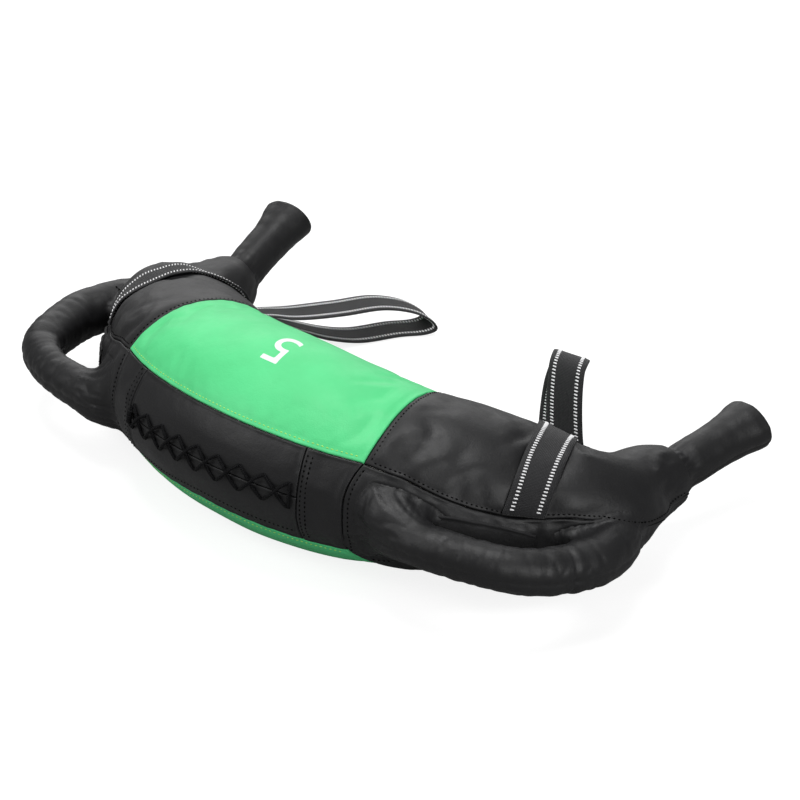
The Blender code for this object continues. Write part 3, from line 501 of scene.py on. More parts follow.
def lumps(points, size, seed, stretch=(1, 1, 1)):
    """Smooth noise from -1 to 1, with lumps about size across, longer where stretch is over 1."""
    scaled = np.asarray(points, float) / (np.array(stretch) * size) + seed * 17.3
    flat = scaled.reshape(-1, 3)
    values = np.array([noise.noise(Vector(p)) for p in flat])
    return values.reshape(scaled.shape[:-1])


def folds(values, sharp):
    """Turn smooth noise into narrow creases between soft rounded pads, from 0 to -1."""
    return -np.exp(-np.abs(values) * sharp)


def ring_lumps(along, turn, length, quick, seed):
    """Noise on a tube by distance along it and direction round it, faster round where quick is larger."""
    return lumps(np.concatenate([along[..., None] / length, turn * quick], -1), 1, seed)


def turned_apart(angle, other):
    """Angle between two directions round a tube, 0 to pi."""
    return np.abs(np.angle(np.exp(1j * (angle - other))))


def mesh_object(name, points, faces, surface, uvs=None):
    mesh = bpy.data.meshes.new(name)
    mesh.from_pydata([tuple(p) for p in np.asarray(points, float)], [], [tuple(f) for f in faces])
    mesh.update()
    if uvs is not None:
        layer = mesh.uv_layers.new(name="along")
        for loop in mesh.loops:
            layer.data[loop.index].uv = uvs[loop.vertex_index]
    mesh.shade_smooth()
    mesh.materials.append(surface)
    obj = bpy.data.objects.new(name, mesh)
    bpy.context.scene.collection.objects.link(obj)
    return obj


def grid_faces(columns, rows, first=0, turn=False, closed=False):
    """Faces of a grid of points, wrapped round its rows when closed."""
    i = np.arange(columns - 1)[:, None]
    j = np.arange(rows if closed else rows - 1)[None, :]
    k = (j + 1) % rows
    corners = [i * rows + j, (i + 1) * rows + j, (i + 1) * rows + k, i * rows + k]
    faces = np.stack(corners, -1).reshape(-1, 4) + first
    return faces[:, ::-1] if turn else faces


def sheet_mesh(name, outer, inner, surface, uvs=None):
    """Closed sheet between two grids of points."""
    columns, rows = outer.shape[:2]
    count = columns * rows
    faces = [*grid_faces(columns, rows), *grid_faces(columns, rows, count, True)]
    edge = [i * rows for i in range(columns)]
    edge += [(columns - 1) * rows + j for j in range(1, rows)]
    edge += [i * rows + rows - 1 for i in range(columns - 2, -1, -1)]
    edge += list(range(rows - 2, 0, -1))
    for a, b in zip(edge, edge[1:] + edge[:1]):
        faces.append((b, a, a + count, b + count))
    points = np.vstack([outer.reshape(-1, 3), inner.reshape(-1, 3)])
    if uvs is not None:
        uvs = np.vstack([uvs.reshape(-1, 2)] * 2)
    return mesh_object(name, points, faces, surface, uvs)


def grid_normals(grid, closed=False):
    if closed:
        wide = np.concatenate([grid[:, -1:], grid, grid[:, :1]], axis=1)
        around = np.gradient(wide, axis=1)[:, 1:-1]
    else:
        around = np.gradient(grid, axis=1)
    return unit(np.cross(np.gradient(grid, axis=0), around))


def spaced(length, step):
    """Shares of a length from 0 to 1, close together near both ends."""
    edge = np.array(EDGE_STEPS)
    inner = max(2, round((length - 2 * edge[-1]) / step))
    middle = np.linspace(edge[-1], length - edge[-1], inner + 1)[1:-1]
    return np.concatenate([edge, middle, length - edge[::-1]]) / length


def resample(grid, u, v):
    """Smooth values of a grid at shares u along it and v across it."""
    first = smooth(grid, u * (grid.shape[0] - 1))[0]
    second = smooth(first.swapaxes(0, 1), v * (grid.shape[1] - 1))[0]
    return second.swapaxes(0, 1)


# Settling cloth


def settle(points, faces, pinned, growth, pressure, cap):
    """Let a cloth of these points swell and slacken with its pinned points held, and return them."""
    mesh = bpy.data.meshes.new("settling")
    mesh.from_pydata([tuple(p) for p in points], [], [tuple(f) for f in faces])
    obj = bpy.data.objects.new("settling", mesh)
    bpy.context.scene.collection.objects.link(obj)
    group = obj.vertex_groups.new(name="held")
    group.add([int(i) for i in np.flatnonzero(pinned)], 1.0, "REPLACE")
    cloth = obj.modifiers.new("cloth", "CLOTH")
    settings = cloth.settings
    settings.quality = 6
    settings.mass = 0.25
    settings.tension_stiffness = 18
    settings.compression_stiffness = 18
    settings.shear_stiffness = 8
    settings.bending_stiffness = 0.6
    settings.air_damping = 6
    settings.vertex_group_mass = "held"
    settings.shrink_min = -growth
    settings.use_pressure = True
    settings.uniform_pressure_force = pressure
    settings.effector_weights.gravity = 0
    cloth.collision_settings.use_collision = False
    cloth.point_cache.frame_start = 1
    cloth.point_cache.frame_end = SETTLE_FRAMES
    for step in range(1, SETTLE_FRAMES + 1):
        bpy.context.scene.frame_set(step)
    graph = bpy.context.evaluated_depsgraph_get()
    result = obj.evaluated_get(graph).to_mesh()
    moved = np.empty(len(points) * 3)
    result.vertices.foreach_get("co", moved)
    moved = moved.reshape(-1, 3)
    obj.evaluated_get(graph).to_mesh_clear()
    bpy.data.objects.remove(obj)
    bpy.data.meshes.remove(mesh)
    bpy.context.scene.frame_set(1)
    shift = moved - points
    reach = np.linalg.norm(shift, axis=1, keepdims=True)
    return points + shift * np.minimum(1, cap / np.maximum(reach, 1e-9))


# Materials

# A wave pattern's scale times its pitch in metres
WAVE_SCALE = 0.314
BRAID_ANGLE = 0.7
PALE_THREAD_GLOSS = 0.5
DARK_THREAD_GLOSS = 0.05


class Nodes:
    """Short calls for building a material's nodes."""

    def __init__(self, name):
        self.made = bpy.data.materials.new(name)
        self.made.use_nodes = True
        self.tree = self.made.node_tree
        self.shader = self.tree.nodes["Principled BSDF"]
        self.place = self.tree.nodes.new("ShaderNodeTexCoord").outputs["Object"]

    def new(self, kind, **values):
        node = self.tree.nodes.new(kind)
        for key, value in values.items():
            if hasattr(node, key):
                setattr(node, key, value)
            else:
                node.inputs[key.replace("_", " ")].default_value = value
        return node

    def link(self, source, target):
        self.tree.links.new(source, target)

    def noise(self, scale, detail=3.0, roughness=0.55, source=None):
        node = self.new("ShaderNodeTexNoise", Scale=scale, Detail=detail, Roughness=roughness)
        self.link(source or self.place, node.inputs["Vector"])
        return node.outputs["Fac"]

    def ramp(self, source, low, high, first, last):
        node = self.new("ShaderNodeMapRange", From_Min=low, From_Max=high, To_Min=first, To_Max=last)
        self.link(source, node.inputs["Value"])
        return node.outputs["Result"]

    def tint(self, source, first, last):
        node = self.tree.nodes.new("ShaderNodeMix")
        node.data_type = "RGBA"
        self.link(source, node.inputs["Factor"])
        node.inputs["A"].default_value = (*first, 1)
        node.inputs["B"].default_value = (*last, 1)
        return node.outputs["Result"]

    def bump(self, source, distance, before=None, strength=1.0):
        node = self.new("ShaderNodeBump", Strength=strength, Distance=distance)
        self.link(source, node.inputs["Height"])
        if before:
            self.link(before, node.inputs["Normal"])
        return node.outputs["Normal"]

    def joined(self, operation, waves):
        """Two wave patterns combined into one height."""
        both = self.new("ShaderNodeMath", operation=operation)
        for wave, target in zip(waves, both.inputs):
            self.link(wave.outputs["Fac"], target)
        return both.outputs[0]

    def set(self, name, value):
        self.shader.inputs[name].default_value = value

    def feed(self, name, source):
        self.link(source, self.shader.inputs[name])


def leather(name, dark, light, rough_low, rough_high):
    """Coated artificial leather: fine grain, small dents, faint uneven colour and sheen."""
    nodes = Nodes(name)
    shade = nodes.noise(26, 3)
    nodes.feed("Base Color", nodes.tint(nodes.ramp(shade, 0.3, 0.7, 0, 1), dark, light))
    sheen = nodes.noise(60, 4, 0.6)
    nodes.feed("Roughness", nodes.ramp(sheen, 0.3, 0.7, rough_low, rough_high))
    cells = nodes.new("ShaderNodeTexVoronoi", Scale=1100.0)
    cells.feature = "F1"
    nodes.link(nodes.place, cells.inputs["Vector"])
    normal = nodes.bump(nodes.noise(95, 4, 0.6), 0.0005, None, 0.5)
    normal = nodes.bump(nodes.noise(320, 3, 0.6), 0.00022, normal, 0.6)
    normal = nodes.bump(cells.outputs["Distance"], 0.00006, normal, 0.8)
    nodes.feed("Normal", normal)
    nodes.set("Specular IOR Level", 0.42)
    return nodes.made


def woven(name, dark, light, pitch, relief, roughness):
    """Woven cloth on a mesh that carries its own along and across distances."""
    nodes = Nodes(name)
    across = nodes.new("ShaderNodeUVMap", uv_map="along").outputs["UV"]
    waves = []
    for direction in ("X", "Y"):
        wave = nodes.new("ShaderNodeTexWave", Scale=WAVE_SCALE / pitch, Distortion=0.35, Detail=1.0)
        wave.bands_direction = direction
        nodes.link(across, wave.inputs["Vector"])
        waves.append(wave)
    height = nodes.joined("MULTIPLY", waves)
    nodes.feed("Base Color", nodes.tint(height, dark, light))
    normal = nodes.bump(nodes.noise(240, 3, 0.6), 0.0002, None, 0.5)
    nodes.feed("Normal", nodes.bump(height, relief, normal, 0.9))
    nodes.set("Roughness", roughness)
    nodes.set("Sheen Weight", 0.12)
    nodes.set("Sheen Roughness", 0.5)
    return nodes.made


def cloth(name, dark, light, scale, relief, roughness):
    """Plain cloth or foam with a fine uneven surface."""
    nodes = Nodes(name)
    shade = nodes.noise(scale, 5, 0.65)
    nodes.feed("Base Color", nodes.tint(nodes.ramp(shade, 0.3, 0.7, 0, 1), dark, light))
    normal = nodes.bump(nodes.noise(scale * 0.2, 3, 0.6), relief * 5, None, 0.5)
    nodes.feed("Normal", nodes.bump(shade, relief, normal, 0.9))
    nodes.set("Roughness", roughness)
    return nodes.made


def thread(name, colour):
    """Twisted sewing thread."""
    nodes = Nodes(name)
    twist = nodes.noise(2500, 2, 0.5)
    darker = tuple(0.85 * part for part in colour)
    nodes.feed("Base Color", nodes.tint(twist, darker, colour))
    nodes.feed("Normal", nodes.bump(twist, 0.0002, None, 0.8))
    nodes.set("Roughness", 0.55)
    nodes.set("Specular IOR Level", PALE_THREAD_GLOSS if max(colour) > 0.1 else DARK_THREAD_GLOSS)
    return nodes.made


def braided(name, dark, light, pitch):
    """Round braid: two crossed spirals along the cord."""
    nodes = Nodes(name)
    across = nodes.new("ShaderNodeUVMap", uv_map="along").outputs["UV"]
    waves = []
    for turn in (BRAID_ANGLE, -BRAID_ANGLE):
        mapping = nodes.new("ShaderNodeMapping")
        mapping.inputs["Rotation"].default_value = (0, 0, turn)
        nodes.link(across, mapping.inputs["Vector"])
        wave = nodes.new("ShaderNodeTexWave", Scale=WAVE_SCALE / pitch, Distortion=0.2)
        nodes.link(mapping.outputs["Vector"], wave.inputs["Vector"])
        waves.append(wave)
    height = nodes.joined("MAXIMUM", waves)
    nodes.feed("Base Color", nodes.tint(height, dark, light))
    nodes.feed("Normal", nodes.bump(height, 0.0005, None, 1.0))
    nodes.set("Roughness", 0.7)
    nodes.set("Specular IOR Level", 0.12)
    return nodes.made


GREEN = leather("green leather", (0.078, 0.60, 0.215), (0.094, 0.68, 0.255), 0.48, 0.60)
BLACK = leather("black leather", (0.0050, 0.0050, 0.0056), (0.0076, 0.0076, 0.0084), 0.46, 0.56)
LINING = cloth("dark lining", (0.004, 0.004, 0.0045), (0.009, 0.009, 0.010), 900, 0.0002, 0.85)
WEBBING = woven("strap webbing", (0.004, 0.004, 0.005), (0.014, 0.014, 0.016), 0.0011, 0.0004, 0.8)
CORD = braided("lace cord", (0.0015, 0.0015, 0.0018), (0.006, 0.006, 0.007), 0.0011)
FOAM = cloth("foam wrap", (0.50, 0.50, 0.46), (0.60, 0.60, 0.56), 700, 0.0003, 0.95)
SANDBAG = cloth("sand bag cloth", (0.55, 0.51, 0.42), (0.68, 0.63, 0.52), 500, 0.0003, 0.85)
FIBRE = cloth("fibre stuffing", (0.70, 0.69, 0.65), (0.86, 0.85, 0.81), 260, 0.0008, 0.95)
BLACK_THREAD = thread("black thread", (0.0006, 0.0006, 0.0006))
LIME_THREAD = thread("lime thread", (0.42, 0.80, 0.16))
WHITE_THREAD = thread("white thread", (0.88, 0.88, 0.89))
NUMBER_INK = cloth("white print", (0.76, 0.80, 0.80), (0.84, 0.87, 0.87), 400, 0.00004, 0.5)


def dress(piece, body="bag"):
    """Give a new piece its body."""
    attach(piece, body)
    return piece


# Handles as lines that the skins know of

TUBE_SEAM_ANGLE = -0.05
SEAM_DEPTH = 0.0011
# Cross seams on the tubes: side, share of the way along, lowest and highest angle
TUBE_SEAMS = (
    ("right", 0.665, -1.3, 1.7),
    ("left", 0.440, -1.6, 0.1),
)
# Relief of the tubes: length along, how fast it changes round, height and noise seed
TUBE_CROSS_FOLDS = (0.0080, 0.7, 0.0011, 3)
TUBE_FINE_LUMPS = (0.0042, 1.1, 0.00024, 9)
TUBE_BROAD_LUMPS = (0.026, 0.6, 0.0006, 5)
TUBE_ROOT_FAN = (0.05, 2.6, 8)
# Bends of the tubes and folds at their roots: where they are, how far they reach and how high
TUBE_BENDS = ((0.30, 0.16), (0.70, 0.13))
INNER_ROOT_FOLDS = (0.006, 0.030, 0.0036)
OUTER_ROOT_FOLDS = (0.004, 0.026, 0.0016)
FOLD_SHARPNESS = 4.5
SLACK_REACH_SHARE = 0.25
SLACK_END_SHARE = 0.1


def wall_place(s, stand, side, height):
    point = cover_point(side * s, 0.0, -stand)
    point[2] = height
    return point


def handle_line(name, side, rings):
    rows = []
    for place, stand, level, radius in HANDLE_SHARES[name]:
        stand = stand * HANDLE_STANDS[name]
        point = wall_place(place * HALF_LENGTH, stand, side, level * HANDLE_HEIGHTS[name])
        rows.append((*point, radius * HANDLE_RADIUS))
    return smooth(np.array(rows), np.linspace(0, len(rows) - 1, rings))[0]


class Handle:
    """A side handle's middle line with a frame carried along it."""

    def __init__(self, name, side):
        fine = handle_line(name, side, 400)
        self.name = name
        first, last = self.root(fine[0]), self.root(fine[-1])
        fine = np.vstack([first[::-1], fine, last])
        steps = np.linalg.norm(np.diff(fine[:, :3], axis=0), axis=1)
        arc = np.concatenate([[0], np.cumsum(steps)])
        self.length = arc[-1] - 2 * HANDLE_ROOT_DEPTH
        self.count = round(arc[-1] / HANDLE_STEP)
        along = np.linspace(0, arc[-1], self.count)
        line = np.stack([np.interp(along, arc, fine[:, k]) for k in range(4)], -1)
        for _ in range(6):
            line[1:-1] = (line[:-2] + 2 * line[1:-1] + line[2:]) / 4
        self.line, self.radius = line[:, :3], line[:, 3]
        self.arc = along - HANDLE_ROOT_DEPTH
        self.share = np.clip(self.arc / self.length, 0, 1)
        self.tangent = unit(np.gradient(self.line, axis=0))
        self.up = unit(np.cross(np.cross(self.tangent, (0, 0, 1)), self.tangent))
        self.out = unit(np.cross(self.tangent, self.up)) * side
        outward, upward, middle = HANDLE_SLACK[name]
        swell = bell(self.share - middle, SLACK_REACH_SHARE) * ease(self.share / SLACK_END_SHARE)
        swell = swell * ease((1 - self.share) / SLACK_END_SHARE)
        self.line = self.line + swell[:, None] * (outward * self.out + upward * self.up)

    def root(self, end):
        """The line carried on from an end, straight into the bag and a little thinner."""
        flat = end[:3].copy()
        s = ALONG[((MIDDLE_LINE - flat[:2]) ** 2).sum(-1).argmin()]
        outward = section(np.array(s))[1]
        shares = np.linspace(0, 1, 40)[1:]
        points = flat - np.append(outward, 0) * HANDLE_ROOT_DEPTH * shares[:, None]
        radius = end[3] * (1 - (1 - HANDLE_ROOT_SHARE) * shares)
        return np.column_stack([points, radius])

    def near(self, points):
        """Ring number, distance outside the tube and angle round it for each point."""
        flat = points.reshape(-1, 3)
        nearest = np.empty(len(flat), int)
        ring = np.empty(len(flat))
        numbers = np.arange(0, self.count, 3)
        for start in range(0, len(flat), 8000):
            chunk = flat[start : start + 8000, None] - self.line[None, ::3]
            apart = np.sqrt((chunk**2).sum(-1))
            weight = np.exp((apart.min(1, keepdims=True) - apart) / RING_SOFTNESS)
            ring[start : start + 8000] = (weight @ numbers) / weight.sum(1)
            first = numbers[apart.argmin(1)]
            close = np.clip(first[:, None] + np.arange(-2, 3), 0, self.count - 1)
            chunk = flat[start : start + 8000, None] - self.line[close]
            best = (chunk**2).sum(-1).argmin(1)
            nearest[start : start + 8000] = close[np.arange(len(best)), best]
        offset = flat - self.line[nearest]
        distance = np.linalg.norm(offset, axis=1) - self.radius[nearest]
        upward = (offset * self.up[nearest]).sum(1)
        outward = (offset * self.out[nearest]).sum(1)
        angle = np.arctan2(upward, outward)
        shape = points.shape[:-1]
        return ring.reshape(shape), distance.reshape(shape), angle.reshape(shape)

    def blend_reach(self, ring, angle, s, t):
        """Wide rounding over both roots, less below them and hardly any along the slot."""
        share = np.interp(ring, np.arange(self.count), self.share)
        inner = ease((BLEND_INNER_END_SHARE - share) / (BLEND_INNER_END_SHARE - BLEND_INNER_FULL_SHARE))
        start, full = BLEND_OUTER_START_SHARE[self.name], BLEND_OUTER_FULL_SHARE[self.name]
        outer = ease((share - start) / (full - start))
        above = BLEND_LOW_SHARE + (1 - BLEND_LOW_SHARE) * ease((np.sin(angle) + 0.15) / 0.85)
        grown = inner * (BLEND_REACH_INNER[self.name] - BLEND_REACH_SLOT)
        grown = grown + outer * (BLEND_REACH_OUTER[self.name] - BLEND_REACH_SLOT)
        s = np.abs(s)
        room = np.minimum(top_seam(s) - t, t - low_seam(s)) * HALF_HEIGHT
        room = np.minimum(room, np.minimum(s - front_panel_edge(t), END_CALM_PLACE - s))
        calm = ease((room - SEAM_CALM_NEAR) / SEAM_CALM_REACH)
        return BLEND_REACH_SLOT + grown * above * calm

    def relief(self, ring, angle):
        """Folds on the tube and round its roots, as height over the plain surface."""
        arc = np.interp(ring, np.arange(self.count), self.arc)
        share = np.interp(ring, np.arange(self.count), self.share)
        radius = np.interp(ring, np.arange(self.count), self.radius)
        turn = np.stack([np.cos(angle), np.sin(angle)], -1)
        bend = sum(bell(share - place, reach) for place, reach in TUBE_BENDS)
        length, quick, high, seed = TUBE_CROSS_FOLDS
        cross = folds(ring_lumps(arc, turn, length, quick, seed), FOLD_SHARPNESS) + 0.3
        height = high * cross * (0.25 + 0.75 * bend)
        for length, quick, high, seed in (TUBE_FINE_LUMPS, TUBE_BROAD_LUMPS):
            height += high * ring_lumps(arc, turn, length, quick, seed)
        root = 0
        for from_end, (start, reach, high) in (
            (arc, INNER_ROOT_FOLDS),
            (self.length - arc, OUTER_ROOT_FOLDS),
        ):
            root = root + high * bell(np.maximum(from_end - start, 0), reach)
        height += root * (folds(ring_lumps(arc, turn, *TUBE_ROOT_FAN), FOLD_SHARPNESS) + 0.35)
        for name, place, low, high in TUBE_SEAMS:
            if name == self.name:
                inside = ease((angle - low) / 0.3) * ease((high - angle) / 0.3)
                apart = (share - place) * self.length
                height -= SEAM_DEPTH * inside * bell(apart, 0.0012)
                height += 0.0003 * inside * bell(apart - 0.004, 0.003)
        apart = turned_apart(angle, TUBE_SEAM_ANGLE) * radius
        return height - (SEAM_DEPTH * bell(apart, 0.0011) + 0.0005 * bell(apart, 0.005))


def smooth_least(a, b, reach):
    """The smaller of two distances, rounded where they are alike."""
    near = np.maximum(reach - np.abs(a - b), 0) / reach
    return np.minimum(a, b) - near**2 * reach / 4


HANDLES = {name: Handle(name, side) for name, side in SIDES.items()}


def slot_reach(place, name, side):
    line = handle_line(name, side, SLOT_TRIALS)
    for stand in np.linspace(0, HANDLE_STANDS[name], SLOT_TRIALS):
        point = wall_place(place * HALF_LENGTH, stand, side, 0)
        apart = np.linalg.norm(line[:, :2] - point[:2], axis=1) - line[:, 3]
        if apart.min() < SLOT_HANDLE_GAPS[name]:
            break
    return stand


def slot_outline(name, side, count):
    """Outline of the hand slot in plan, at the handle's height."""
    first, last = SLOT_OPEN_SHARES[name]
    wall = SLOT_WALL_STANDS[name]
    outline = []
    for angle in np.linspace(0, 2 * math.pi, count, endpoint=False):
        place = (first + last) / 2 - (last - first) / 2 * math.cos(angle)
        half = max((slot_reach(place, name, side) - wall) / 2, SLOT_END_HALF_WIDTH)
        swing = math.copysign(abs(math.sin(angle)) ** SLOT_ROUND_POWER, math.sin(angle))
        outline.append(wall_place(place * HALF_LENGTH, wall + half * (1 + swing), side, 0))
    return np.array(outline)


SLOTS = {name: slot_outline(name, side, 64) for name, side in SIDES.items()}


def outside_slot(name, points):
    """Distance of points from the slanted slot's outline, less than 0 inside the slot."""
    flat = points.reshape(-1, 3)
    drop = HANDLE_HEIGHTS[name] - flat[:, 2]
    flat = flat[:, :2] - drop[:, None] * np.array(SLOT_SLANTS[name])
    corners = SLOTS[name][:, :2]
    ends = np.roll(corners, -1, axis=0)
    along = ends - corners
    near = np.full(len(flat), 1.0)
    crossings = np.zeros(len(flat), int)
    for start, end, step in zip(corners, ends, along):
        share = np.clip(((flat - start) @ step) / (step @ step), 0, 1)
        near = np.minimum(near, ((flat - start - share[:, None] * step) ** 2).sum(1))
        spans = (start[1] > flat[:, 1]) != (end[1] > flat[:, 1])
        level = start[0] + (flat[:, 1] - start[1]) * step[0] / (step[1] or 1e-12)
        crossings += spans & (flat[:, 0] < level)
    near = np.sqrt(near)
    signed = np.where(crossings % 2 == 1, -near, near)
    return signed.reshape(points.shape[:-1])


def joined_distance(name, points, cover, tube, reach):
    """Distance from the cover and the tube rounded into one, with the slot cut through."""
    both = smooth_least(cover, tube, reach)
    return -smooth_least(-both, outside_slot(name, points), SLOT_RIM_REACH)


# Relief of the cover


def strap_middle(t):
    return STRAP_PLACE + STRAP_SLANT * (np.abs(t) - STRAP_START_ANGLE)


def near_strap(s, t):
    """1 under a strap, 0 well clear of it."""
    turned = np.where(t > STRAP_EXIT_ANGLE + STRAP_MARGIN_ANGLE, t - 2 * math.pi, t)
    apart = np.abs(np.abs(s) - strap_middle(turned))
    under = np.clip(1 - (apart - STRAP_WIDTH / 2) / STRAP_PRESS_REACH, 0, 1)
    bare = turned < STRAP_START_ANGLE - STRAP_MARGIN_ANGLE
    bare &= turned > -STRAP_LOW_START_ANGLE + STRAP_MARGIN_ANGLE
    return np.where(bare, 0.0, under)


def near_lacing(s, t):
    apart_s = np.clip((np.abs(s) - LACED_HALF_LENGTH) / LACING_CALM_REACH, 0, 1)
    apart_t = np.clip((np.abs(t - LACE_SLIT_ANGLE) - LACING_HALF_ANGLE) / LACING_CALM_ANGLE, 0, 1)
    return np.clip(1 - apart_s - apart_t, 0, 1)


# Soft creases: side, places along and round the cover, depth, width
CREASES = (
    ("right", ((0.118, 0.74), (0.132, 0.98), (0.140, 1.30)), 0.0016, 0.0060),
    ("right", ((0.128, 0.66), (0.149, 0.80), (0.160, 1.10)), 0.0012, 0.0050),
    ("right", ((0.166, 0.44), (0.170, 0.56), (0.168, 0.72)), 0.0012, 0.0035),
    ("left", ((0.128, 1.10), (0.158, 1.05), (0.178, 1.12)), 0.0012, 0.0060),
    ("left", ((0.122, 0.96), (0.150, 0.88), (0.176, 0.92)), 0.0012, 0.0050),
    ("left", ((0.135, 1.42), (0.160, 1.36), (0.180, 1.46)), 0.0009, 0.0055),
    ("right", ((0.268, 0.06), (0.272, 0.30), (0.262, 0.52)), 0.0014, 0.0045),
    ("left", ((0.268, 0.06), (0.272, 0.30), (0.262, 0.52)), 0.0010, 0.0045),
)


def crease_relief(points):
    height = np.zeros(points.shape[:-1])
    for name, places, depth, width in CREASES:
        side = SIDES[name]
        rows = smooth(np.array(places), np.linspace(0, len(places) - 1, 24))[0]
        line = cover_point(side * rows[:, 0], rows[:, 1])
        apart = np.sqrt(((points[..., None, :] - line) ** 2).sum(-1))
        nearest = apart.argmin(-1)
        fade = np.sin(np.pi * np.clip((nearest + 1) / 25, 0, 1)) ** 0.7
        apart = apart.min(-1)
        raised = bell(apart - 2 * width, 1.6 * width)
        height += fade * depth * (0.45 * raised - bell(apart, width))
    return height


def cover_relief(points, s, t, calm):
    """Height of a skin over the plain cover: broad softness, pulls to the ends, creases."""
    out = np.abs(s)
    height = sum(calm * high * lumps(points, size, seed) for size, high, seed in COVER_LUMPS)
    turn = np.stack([np.cos(t), np.sin(t)], -1)
    end = np.clip((out - END_FOLD_START) / END_FOLD_REACH, 0, 1)
    end = end * (1 - 0.9 * ease((out - END_FOLD_FADE_START) / END_FOLD_FADE_REACH))
    pulls = folds(ring_lumps(s, turn, END_FOLD_LENGTH, END_FOLD_TURNS, 4), END_FOLD_SHARPNESS)
    height += end * END_FOLD_HEIGHT * (pulls + 0.35)
    drawn = ease((out - DRAW_IN_START) / DRAW_IN_REACH) * ease((DRAW_IN_END - out) / DRAW_IN_FADE)
    height -= END_DRAW_IN * drawn
    height += crease_relief(points) * min(1.0, calm + 0.2)
    keep = 1 - np.maximum(0.85 * near_strap(s, t), 0.9 * near_lacing(s, t))
    return height * keep


# Panels that a side handle grows out of
JOINED_PANELS = ("front_panel_", "side_panel_", "end_top_panel_", "end_bottom_panel_")


